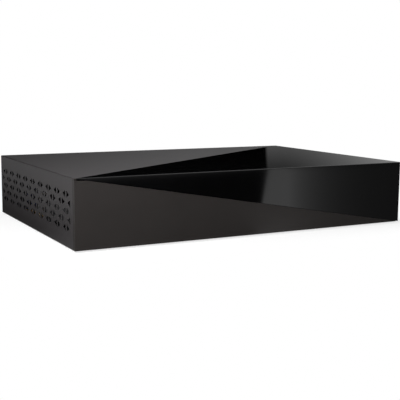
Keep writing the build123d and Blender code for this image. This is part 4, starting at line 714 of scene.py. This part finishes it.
# Mains inlet and rocker switch
def blunt_corner(edge):
    """Whether an edge runs front to back along one of the inlet's blunt corners."""
    runs_deep = abs(edge.verts[0].co.y - edge.verts[1].co.y) > 3 * MM
    return runs_deep and math.radians(20) < edge.calc_face_angle(0) < math.radians(50)


inlet = broken(carried("power_inlet"), 0.55, 20.0, keep=blunt_corner)
piece(broken(inlet, 0.35, 50.0, 3), "mains_inlet", socket_black, "socket_black", "power_inlet")
pins = bmesh.new()
pin = turned([(0, -13.0), (1.2, -13.0), (1.2, -3.4), (1.0, -2.85), (0.5, -2.6), (0, -2.6)], 24)
inlet_back = extent("power_inlet")[0].y
for low, high, _ in solids("inlet_pins"):
    if high.y > inlet_back + 6:
        merged(pins, pin, on_panel(low, high, proud=1.6))
    else:
        blade = slab(0.8, high.y - low.y, 4.8, 0.15)
        merged(pins, blade, at((low.x + high.x) / 2, (low.y + high.y) / 2, low.z))
piece(pins, "inlet_contacts", nickel, "jack_nickel", "inlet_pins")
softened("switch_housing", 0.3, "switch_surround", socket_black, "socket_black", segments=3)
softened("switch_rocker", 0.4, "rocker_paddle", socket_black, "socket_black", segments=3, body="power_rocker")

# Reset plunger with a domed end
low, high = extent("reset_button")
plunger = turned([(0, -4), (1.68, -4), (1.68, -0.45), (1.5, -0.15), (1.0, 0), (0, 0)], 32)
button = merged(bmesh.new(), plunger, at((low.x + high.x) / 2, high.y, (low.z + high.z) / 2, "rear"))
piece(button, "reset_plunger_cap", shutter_grey, "shutter_grey", "reset_button", body="reset_plunger")
softened("reset_switch", 0.2, "reset_body", socket_black, "socket_black")

# Fan: frame with a round duct, and a rotor with cambered blades
BLADES, BLADE_ROOT, BLADE_SPAN, BLADE_GAUGE, BLADE_DROP = 7, 13.6, 12.6, 0.9, 0.7
ROOT_CHORD, CHORD_GROWTH, CAMBER, SWEEP = 9.5, 5.5, 1.5, 0.22
ROOT_PITCH, PITCH_LOSS = 46, 14
HALF_HUB = 5.5

softened("fan_frame", 0.4, "fan_housing", fan_plastic, "socket_black", 40.0, 3)
low, high = extent("fan_frame")
fan_spot = at((low.x + high.x) / 2, extent("fan_rotor")[0].y + HALF_HUB, (low.z + high.z) / 2, "rear")
rotor = turned([
    (0, -HALF_HUB), (13.2, -HALF_HUB), (14, -4.7), (14, 4.7), (13.2, HALF_HUB), (4, HALF_HUB), (3.2, 5.1),
    (0, 5.1),
], 48)
blade = bmesh.new()
bmesh.ops.create_grid(blade, x_segments=10, y_segments=10, size=1.0)
for vert in blade.verts:
    out, along = (vert.co.x + 1) / 2, vert.co.y
    radius = BLADE_ROOT + out * BLADE_SPAN
    reach = (ROOT_CHORD + out * CHORD_GROWTH) / 2 * along
    pitch = math.radians(ROOT_PITCH - PITCH_LOSS * out)
    around = reach * math.cos(pitch) / radius + out * SWEEP
    lift = reach * math.sin(pitch) + (1 - along * along) * CAMBER - BLADE_DROP
    vert.co = (radius * MM * math.cos(around), radius * MM * math.sin(around), lift * MM)
bmesh.ops.solidify(blade, geom=list(blade.faces), thickness=BLADE_GAUGE * MM)
bmesh.ops.recalc_face_normals(blade, faces=blade.faces)
for step in range(BLADES):
    merged(rotor, blade, Matrix.Rotation(math.tau * step / BLADES, 4, "Z"))
shaft = turned([(0, -4), (1.5, -4), (1.5, 8.6), (0, 8.6)], 16)
fan = merged(merged(bmesh.new(), rotor, fan_spot), shaft, fan_spot)
piece(fan, "fan_blades", fan_plastic, "socket_black", "fan_rotor", body="fan")

# Tuner can, phono block and the boards
softened("tuner_can", 0.3, "tuner_shield", tinplate, "tinplate")
softened("rca_housing", 0.25, "phono_block", socket_black, "socket_black")
softened("main_board", 0.1, "main_circuit_board", board_green, "board_green")
softened("psu_board", 0.1, "supply_circuit_board", board_tan, "board_tan")
softened("front_board", 0.1, "front_circuit_board", board_green, "board_green")
softened("drive_board", 0.1, "drive_circuit_board", board_green, "board_green")
softened("main_chips", 0.12, "board_chips", chip_black, "chip_black")
softened("processor_heatsink", 0.2, "processor_cooler", fin_metal, "fin_aluminium")
softened("psu_heatsinks", 0.2, "supply_coolers", fin_metal, "fin_aluminium")


def capacitor(radius, height):
    """A can in its sleeve, with a crimped base and a rolled top."""
    wall, crimp = radius * 0.97, radius * 0.9
    return turned([
        (0, 0), (crimp, 0), (wall, 0.3), (wall, 1.4), (crimp, 1.9), (wall, 2.4), (wall, height - 0.9),
        (crimp, height - 0.25), (radius * 0.8, height - 0.15),
    ], 32)


def capacitor_top(radius, height):
    """The bare metal top of a can, with a cross scored in it."""
    top = turned([
        (0, height - 0.35), (radius * 0.74, height - 0.3), (radius * 0.82, height - 0.14),
        (radius * 0.8, height - 0.6),
    ], 32)
    for turn in (0, 90):
        merged(top, slab(radius * 1.1, 0.35, 0.06, 0.02), at(0, 0, height - 0.34, "up", turn))
    return top


for node, name in (("board_capacitors", "board_cans"), ("psu_capacitors", "supply_cans")):
    sleeves, tops = bmesh.new(), bmesh.new()
    for low, high, _ in solids(node):
        radius, spot = (high.x - low.x) / 2, at((low.x + high.x) / 2, (low.y + high.y) / 2, low.z)
        merged(sleeves, capacitor(radius, high.z - low.z), spot)
        merged(tops, capacitor_top(radius, high.z - low.z), spot)
    piece(sleeves, name, capacitor_sleeve, "capacitor_sleeve", node)
    piece(tops, name + "_tops", tinplate, None)

transformer = broken(carried("psu_transformer"), 0.4)
low, high = extent("psu_transformer")
for face in transformer.faces:
    across = abs(face.calc_center_median().y / MM - (low.y + high.y) / 2)
    face.material_index = 1 if across > (high.y - low.y) / 4 + 0.6 else 0
looks = (transformer_core, winding_tape)
piece(transformer, "supply_transformer", looks, "transformer_core", "psu_transformer")

# Small parts soldered to the main board
small, metal_ends = bmesh.new(), bmesh.new()
packs = [
    (8, 20), (8, -2), (40, 92), (62, 92), (120, 92), (30, 52), (150, 20), (168, 34), (10, 74), (152, -20),
]
chips = (
    [(24 + 5 * step, 108 - 3 * (step % 3)) for step in range(8)]
    + [(140 + 5 * step, -40 + 4 * (step % 2)) for step in range(9)]
    + [(-10 + 4 * (step % 2), 40 + 5 * step) for step in range(10)]
    + [(176 + 4 * (step % 3), -10 + 5 * step) for step in range(11)]
    + [(52 + 6 * step, 60 + 3 * (step % 2)) for step in range(12)]
)
leg = slab(1.4, 0.35, 0.2, 0.05)
for x, y in packs:
    merged(small, slab(5.0, 9.0, 1.6, 0.15), at(x, y, BOARD_TOP + 0.05))
    for along in side_by_side(y, 7, 1.2):
        for side in (-1, 1):
            merged(metal_ends, leg, at(x + side * 3.0, along, BOARD_TOP))
for x, y in chips:
    merged(small, slab(1.6, 1.5, 0.8, 0.08), at(x, y, BOARD_TOP))
    for side in (-1, 1):
        merged(metal_ends, slab(0.5, 1.6, 0.86, 0.06), at(x + side * 0.95, y, BOARD_TOP))
crystal = slab(11.0, 4.6, 3.5, 0.5, corner=2.2)
merged(metal_ends, crystal, at(134, 40, BOARD_TOP))
piece(small, "board_small_parts", chip_black, "chip_black")
piece(metal_ends, "board_solder_ends", tinplate, None)

# Front electronics
softened("status_leds", 0.2, "lamps", lamp_clear, "lamp_clear")
softened("light_guide", 0.2, "light_pipe", lamp_clear, "lamp_clear")
softened("ir_receiver", 0.25, "remote_eye", socket_black, "socket_black")

# Drive and its cradle
softened("drive_base", 0.3, "drive_body", drive_casting, "drive_casting")
softened("drive_lid", 0.3, "drive_cover", drive_steel, "drive_cover_steel")
softened("drive_bracket", 0.15, "drive_cradle", zinc_sheet, "bare_steel")
softened("drive_grommets", 0.4, "drive_mounts", grommet_rubber, "grommet_rubber", 40.0)
softened("drive_magnets", 0.3, "voice_magnets", magnet_nickel, "magnet_nickel")
softened("drive_coil", 0.3, "voice_coil", coil_copper, "coil_copper", body="head_arm")
softened("drive_arm", 0.2, "actuator", hub_metal, "hub_aluminium", body="head_arm")
low, high = extent("drive_disks")
spindle = ((low.x + high.x) / 2, (low.y + high.y) / 2)
platter = turned([
    (12.5, 0.1), (12.6, 0), (47.2, 0), (47.45, 0.2), (47.45, 1.1), (47.2, 1.3), (12.6, 1.3), (12.5, 1.2),
    (12.5, 0.1),
], 96)
disk = merged(bmesh.new(), platter, at(*spindle, low.z))
piece(disk, "platter", disk_mirror, "disk_mirror", "drive_disks", body="disk_pack")
clamp = turned([
    (4.1, 0), (15.2, 0), (15.2, 1.2), (12.2, 1.2), (12.2, 2.5), (15.2, 2.5), (15.2, 3.6), (14.4, 4.1),
    (6, 4.1), (4.1, 3.7), (4.1, 0),
], 48)
hub = merged(bmesh.new(), clamp, at(*spindle, extent("drive_hub")[0].z))
piece(hub, "platter_clamp", hub_metal, "hub_aluminium", "drive_hub", body="disk_pack")

# Leads that the case holds from end to end. A plug laps over the end of its lead.
PLUG, PLUG_HIGH, LAP = 5.0, 8.0, 2.0
INTO_PLUG = BOARD_TOP + PLUG_HIGH / 2


def strands(routes, radius):
    """Round strands along smooth curves through routes of points in millimetres."""
    line = bpy.data.curves.new("strands", "CURVE")
    line.dimensions, line.resolution_u, line.use_fill_caps = "3D", 6, True
    line.bevel_depth, line.bevel_resolution = radius * MM, 2
    for route in routes:
        spline = line.splines.new("NURBS")
        spline.points.add(len(route) - 1)
        for point, place in zip(spline.points, route):
            point.co = (*[value * MM for value in place], 1.0)
        spline.order_u = 3
        spline.use_endpoint_u = True
    holder = bpy.data.objects.new("strands", line)
    bpy.context.scene.collection.objects.link(holder)
    made = bpy.data.meshes.new_from_object(holder)
    bpy.data.objects.remove(holder)
    shape = bmesh.new()
    shape.from_mesh(made)
    bpy.data.meshes.remove(made)
    bmesh.ops.remove_doubles(shape, verts=shape.verts, dist=JOINED)
    bmesh.ops.recalc_face_normals(shape, faces=shape.faces)
    return shape


def plugs(*housings):
    """Crimp housings, each given by its size, its place and the way it faces."""
    shape = bmesh.new()
    for size, spot, facing in housings:
        merged(shape, slab(*size, 0.5), at(*spot, facing))
    return shape


low, high = extent("front_ribbon")
middle, level, drop = (low.x + high.x) / 2, high.z - PLUG / 2, high.y - PLUG / 2
over_board = BOARD_TOP + PLUG_HIGH * 1.5
ribbon = strands([
    [
        (x, low.y + PLUG - LAP, level), (x, low.y + PLUG * 3, level), (x, drop - PLUG_HIGH * 2, over_board),
        (x, drop, over_board), (x, drop, INTO_PLUG),
    ]
    for x in [low.x + 2.2 + step * 1.05 for step in range(14)]
], 0.45)
piece(ribbon, "front_ribbon_strands", cable_grey, "cable_grey", "front_ribbon")
ribbon_plugs = plugs(
    ((high.x - low.x, PLUG, PLUG), (middle, low.y, level), "rear"),
    ((high.x - low.x, PLUG, PLUG_HIGH), (middle, drop, BOARD_TOP), "up"),
)
piece(ribbon_plugs, "front_ribbon_plugs", core_white, "jack_core")

low, high = extent("drive_cable")
middle, across, drop = (low.y + high.y) / 2, high.y - low.y, high.x - PLUG / 2
level, rise = BOARD_TOP + PLUG, BOARD_TOP + 18
drive_lead = strands([
    [
        (low.x + PLUG_HIGH - LAP, y, level), (low.x + PLUG_HIGH * 2, y, level),
        (low.x + PLUG_HIGH * 2, y, rise), (drop, y, rise), (drop, y, INTO_PLUG),
    ]
    for y in side_by_side(middle, 12, 2)
], 0.95)
piece(drive_lead, "drive_lead_strands", cable_red, "cable_red", "drive_cable")
drive_plugs = plugs(
    ((PLUG_HIGH, across, PLUG), (low.x + PLUG_HIGH / 2, middle, level - PLUG / 2), "up"),
    ((PLUG, across, PLUG_HIGH), (drop, middle, BOARD_TOP), "up"),
)
piece(drive_plugs, "drive_lead_plugs", socket_black, "socket_black")

low, high = extent("power_harness")
middle, start, drop, rise = (low.y + high.y) / 2, low.x + PLUG / 2, high.x - PLUG / 2, BOARD_TOP + 23
harness = strands([
    [
        (start, y, INTO_PLUG), (start, y, rise), (start + 11.8, y, rise), (drop - 12, y, rise),
        (drop, y, rise), (drop, y, INTO_PLUG),
    ]
    for y in side_by_side(middle, 5, 2.4)
], 1.05)
piece(harness, "power_harness_strands", cable_cream, "cable_cream", "power_harness")
harness_plug = (PLUG, high.y - low.y, PLUG_HIGH)
harness_plugs = plugs(*[(harness_plug, (x, middle, BOARD_TOP), "up") for x in (start, drop)])
piece(harness_plugs, "power_harness_plugs", core_white, "jack_core")

# Mains leads: from one pin down to the supply board, from the other over to the switch, and from it down
LEAD = 1.2
low, high = extent("mains_leads")
pins_low, pins_high = extent("inlet_pins")
board_pin, switch_pin, tab = pins_low.x + LEAD, pins_high.x - LEAD, high.x - LEAD
tail, behind, level = pins_low.y, low.y + LEAD, (pins_low.z + pins_high.z) / 2
upper_tab, lower_tab, over = level + 4.75, level - 4.75, high.z - LEAD
leads = strands([
    [(board_pin, tail, level), (board_pin, behind, level), (board_pin, behind, low.z)],
    [
        (switch_pin, tail, level), (switch_pin, behind, level), (switch_pin, behind, over),
        (tab, behind, over), (tab, behind, upper_tab), (tab, high.y, upper_tab),
    ],
    [(tab, high.y, lower_tab), (tab, behind, lower_tab), (tab, behind, low.z)],
], LEAD)
piece(leads, "mains_lead_sleeves", lead_brown, "lead_brown", "mains_leads")


# Studio: a white floor, a white world, soft lamps, and cards that only gloss can see
EYE, AIM, ROLL = (-0.4591, -0.8724, 0.16465), (0.005656, -0.00475, 0.02158), math.radians(0.45)
SENSOR, LENS, NEAR, FAR = 36.0, 74.09, 0.05, 40.0
FRONT = extent("front_bezel")[0].y * MM
HALF_WIDTH, HALF_DEPTH = 0.2, 0.1325
FLOOR_REACH, JUST_OFF_FLOOR = 12, 0.0008


def stage_plane(name, finish, low, high, height=None, depth=None):
    """A rectangle of the studio, lying at a height or standing at a depth, in metres."""
    shape = bmesh.new()
    bmesh.ops.create_grid(shape, x_segments=1, y_segments=1, size=1.0)
    middle, half = [(a + b) / 2 for a, b in zip(low, high)], [(b - a) / 2 for a, b in zip(low, high)]
    bmesh.ops.scale(shape, vec=(half[0], half[1], 1), verts=shape.verts)
    if depth is not None:
        bmesh.ops.rotate(shape, matrix=Matrix.Rotation(math.pi / 2, 3, "X"), verts=shape.verts)
        bmesh.ops.translate(shape, vec=(middle[0], depth, middle[1]), verts=shape.verts)
    else:
        bmesh.ops.translate(shape, vec=(middle[0], middle[1], height), verts=shape.verts)
    mesh = bpy.data.meshes.new(name)
    shape.to_mesh(mesh)
    shape.free()
    mesh.materials.append(finish.material)
    item = bpy.data.objects.new(name, mesh)
    bpy.context.scene.collection.objects.link(item)
    return item


# To the eye the floor glows white, less so within 70 mm of the case, where its shadow shows. The light that
# it throws back on the object is that of a grey floor.
floor_white = Finish("floor_white", (0.4, 0.4, 0.4), 1.0, Specular_IOR_Level=0.0)
seen = floor_white.seen()
floor_white.set(Base_Color=floor_white.mix(seen, (0.1, 0.1, 0.1), WHITE))
beside = abs(floor_white.along("X")) - HALF_WIDTH
before = abs(floor_white.along("Y")) - HALF_DEPTH
clear = beside.at_least(before).above(0.0, 0.07) * 0.55 + 0.45
glow = floor_white.node("ShaderNodeEmission", None, {"Color": (*WHITE, 1.0), "Strength": 1.0})
ground = floor_white.either(seen * clear, floor_white.surface.outputs["BSDF"], glow.outputs["Emission"])
floor_white.join(ground, floor_white.tree.nodes["Material Output"].inputs["Surface"])
stage_plane("floor", floor_white, (-FLOOR_REACH,) * 2, (FLOOR_REACH,) * 2, height=0.0)


def gloss_card(name, glow_at, low, high, height=None, depth=None):
    """A card that shows in reflections and nowhere else, as bright at each place as glow_at says."""
    finish = Finish(name, BLACK, 1.0, Specular_IOR_Level=0.0, Emission_Strength=1.0)
    glow = glow_at(*[finish.along(axis) for axis in "XYZ"])
    finish.set(Emission_Color=finish.mix(glow, BLACK, WHITE))
    item = stage_plane(name, finish, low, high, height, depth)
    item.visible_camera = item.visible_diffuse = item.visible_shadow = False
    item.visible_transmission = item.visible_volume_scatter = False


def rear_glow(x, y, z):
    """A dim screen right of a slanting edge, paler near the floor and to the right, below a bright one."""
    right_of_edge = (x - z * 0.08).above(0.9236, 0.006)
    low_down = right_of_edge * (0.036 + (x - 0.99).at_least(0.0) ** 1.6 + (0.25 - z).at_least(0.0))
    high_up = x.above(0.25, 0.5) * 0.85
    return low_down + z.above(0.46, 0.12) * (high_up - low_down)


def front_glow(x, y, z):
    """A wedge right of a slanting edge, with a far and a left part.

    The wedge fades with the place on the case's front where the camera sees the card mirrored.
    """
    ahead = 0 - y
    mirrored_eye = 2 * FRONT - EYE[1]
    on_front = (x - EYE[0]) / (mirrored_eye - y) * (FRONT - EYE[1]) + EYE[0]
    right_of_edge = (x + y * 0.67).above(-0.0861, 0.005)
    near = right_of_edge * ((on_front - 0.0228).fading(0.034) * 1.66 + 0.095)
    far = (0.5 - x).at_least(0.0) * 1.5
    left = (-0.35 - x).above(0.0, 0.1) * ahead.above(0.2, 0.1) * (1.0 - ahead.above(0.6, 0.3)) * 4.0
    return near + ahead.above(0.74, 0.1) * (far - near) + left


def side_glow(x, y, z):
    """A strip that starts 80 mm left of the case and dims towards the rear."""
    return ((-0.28 - x).at_least(0.0).at_most(0.15) * 38.0 - y.at_most(1.0) * 2.6).at_least(0.0)


def sky_glow(x, y, z):
    """Half bright to the right, nearly dark to the left."""
    return (x + 1.1).above(0.8, 1.4) * 0.5 + 0.06


def wall_glow(x, y, z):
    """Brightest at the left end."""
    return (3.0 - x).at_least(0.0) * 0.08


gloss_card("rear_card", rear_glow, (-4, 0.0), (4, 1.7), depth=1.3)
gloss_card("front_card", front_glow, (-4, -2.5), (4, -0.139), height=JUST_OFF_FLOOR)
gloss_card("side_card", side_glow, (-3, -0.138), (-0.201, 3), height=JUST_OFF_FLOOR)
gloss_card("sky_card", sky_glow, (-4, -4), (4, 4), height=2.2)
gloss_card("front_wall", wall_glow, (-4, 0.0), (4, 2.2), depth=-3.9)

# The world is white to the eye and lights the object dimly
world = bpy.context.scene.world or bpy.data.worlds.new("studio")
bpy.context.scene.world = world
world.use_nodes = True
world.node_tree.nodes.clear()
surround = Shader(world.node_tree)
dim, bright = [
    surround.node("ShaderNodeBackground", None, {"Color": (*WHITE, 1.0), "Strength": strength}).outputs[0]
    for strength in (0.1, 1.0)
]
surround.node("ShaderNodeOutputWorld", None, {"Surface": surround.either(surround.seen(), dim, bright)})


def aimed(item, place, target, roll=0.0):
    """Puts a lamp or the camera in its place, looking at a target."""
    item.location = place
    item.rotation_mode = "QUATERNION"
    look = (Vector(target) - Vector(place)).to_track_quat("-Z", "Y")
    item.rotation_quaternion = look @ Matrix.Rotation(roll, 4, "Z").to_quaternion()
    bpy.context.scene.collection.objects.link(item)


for name, place, power, size in (
    ("key_lamp", (-0.42, -0.42, 0.36), 5.4, 0.25),
    ("fill_lamp", (1.4, -1.6, 1.6), 3, 1.6),
    ("rear_lamp", (0.6, 2.0, 1.6), 3, 1.8),
):
    lamp = bpy.data.lights.new(name, "AREA")
    lamp.energy, lamp.shape, lamp.size = power, "DISK", size
    aimed(bpy.data.objects.new(name, lamp), place, (0, 0, 0.03))

camera = bpy.data.objects.new("photo_view", bpy.data.cameras.new("photo_view"))
camera.data.sensor_width, camera.data.lens = SENSOR, LENS
camera.data.clip_start, camera.data.clip_end = NEAR, FAR
aimed(camera, EYE, AIM, ROLL)
bpy.context.scene.camera = camera
bpy.context.scene.view_settings.view_transform = "Standard"
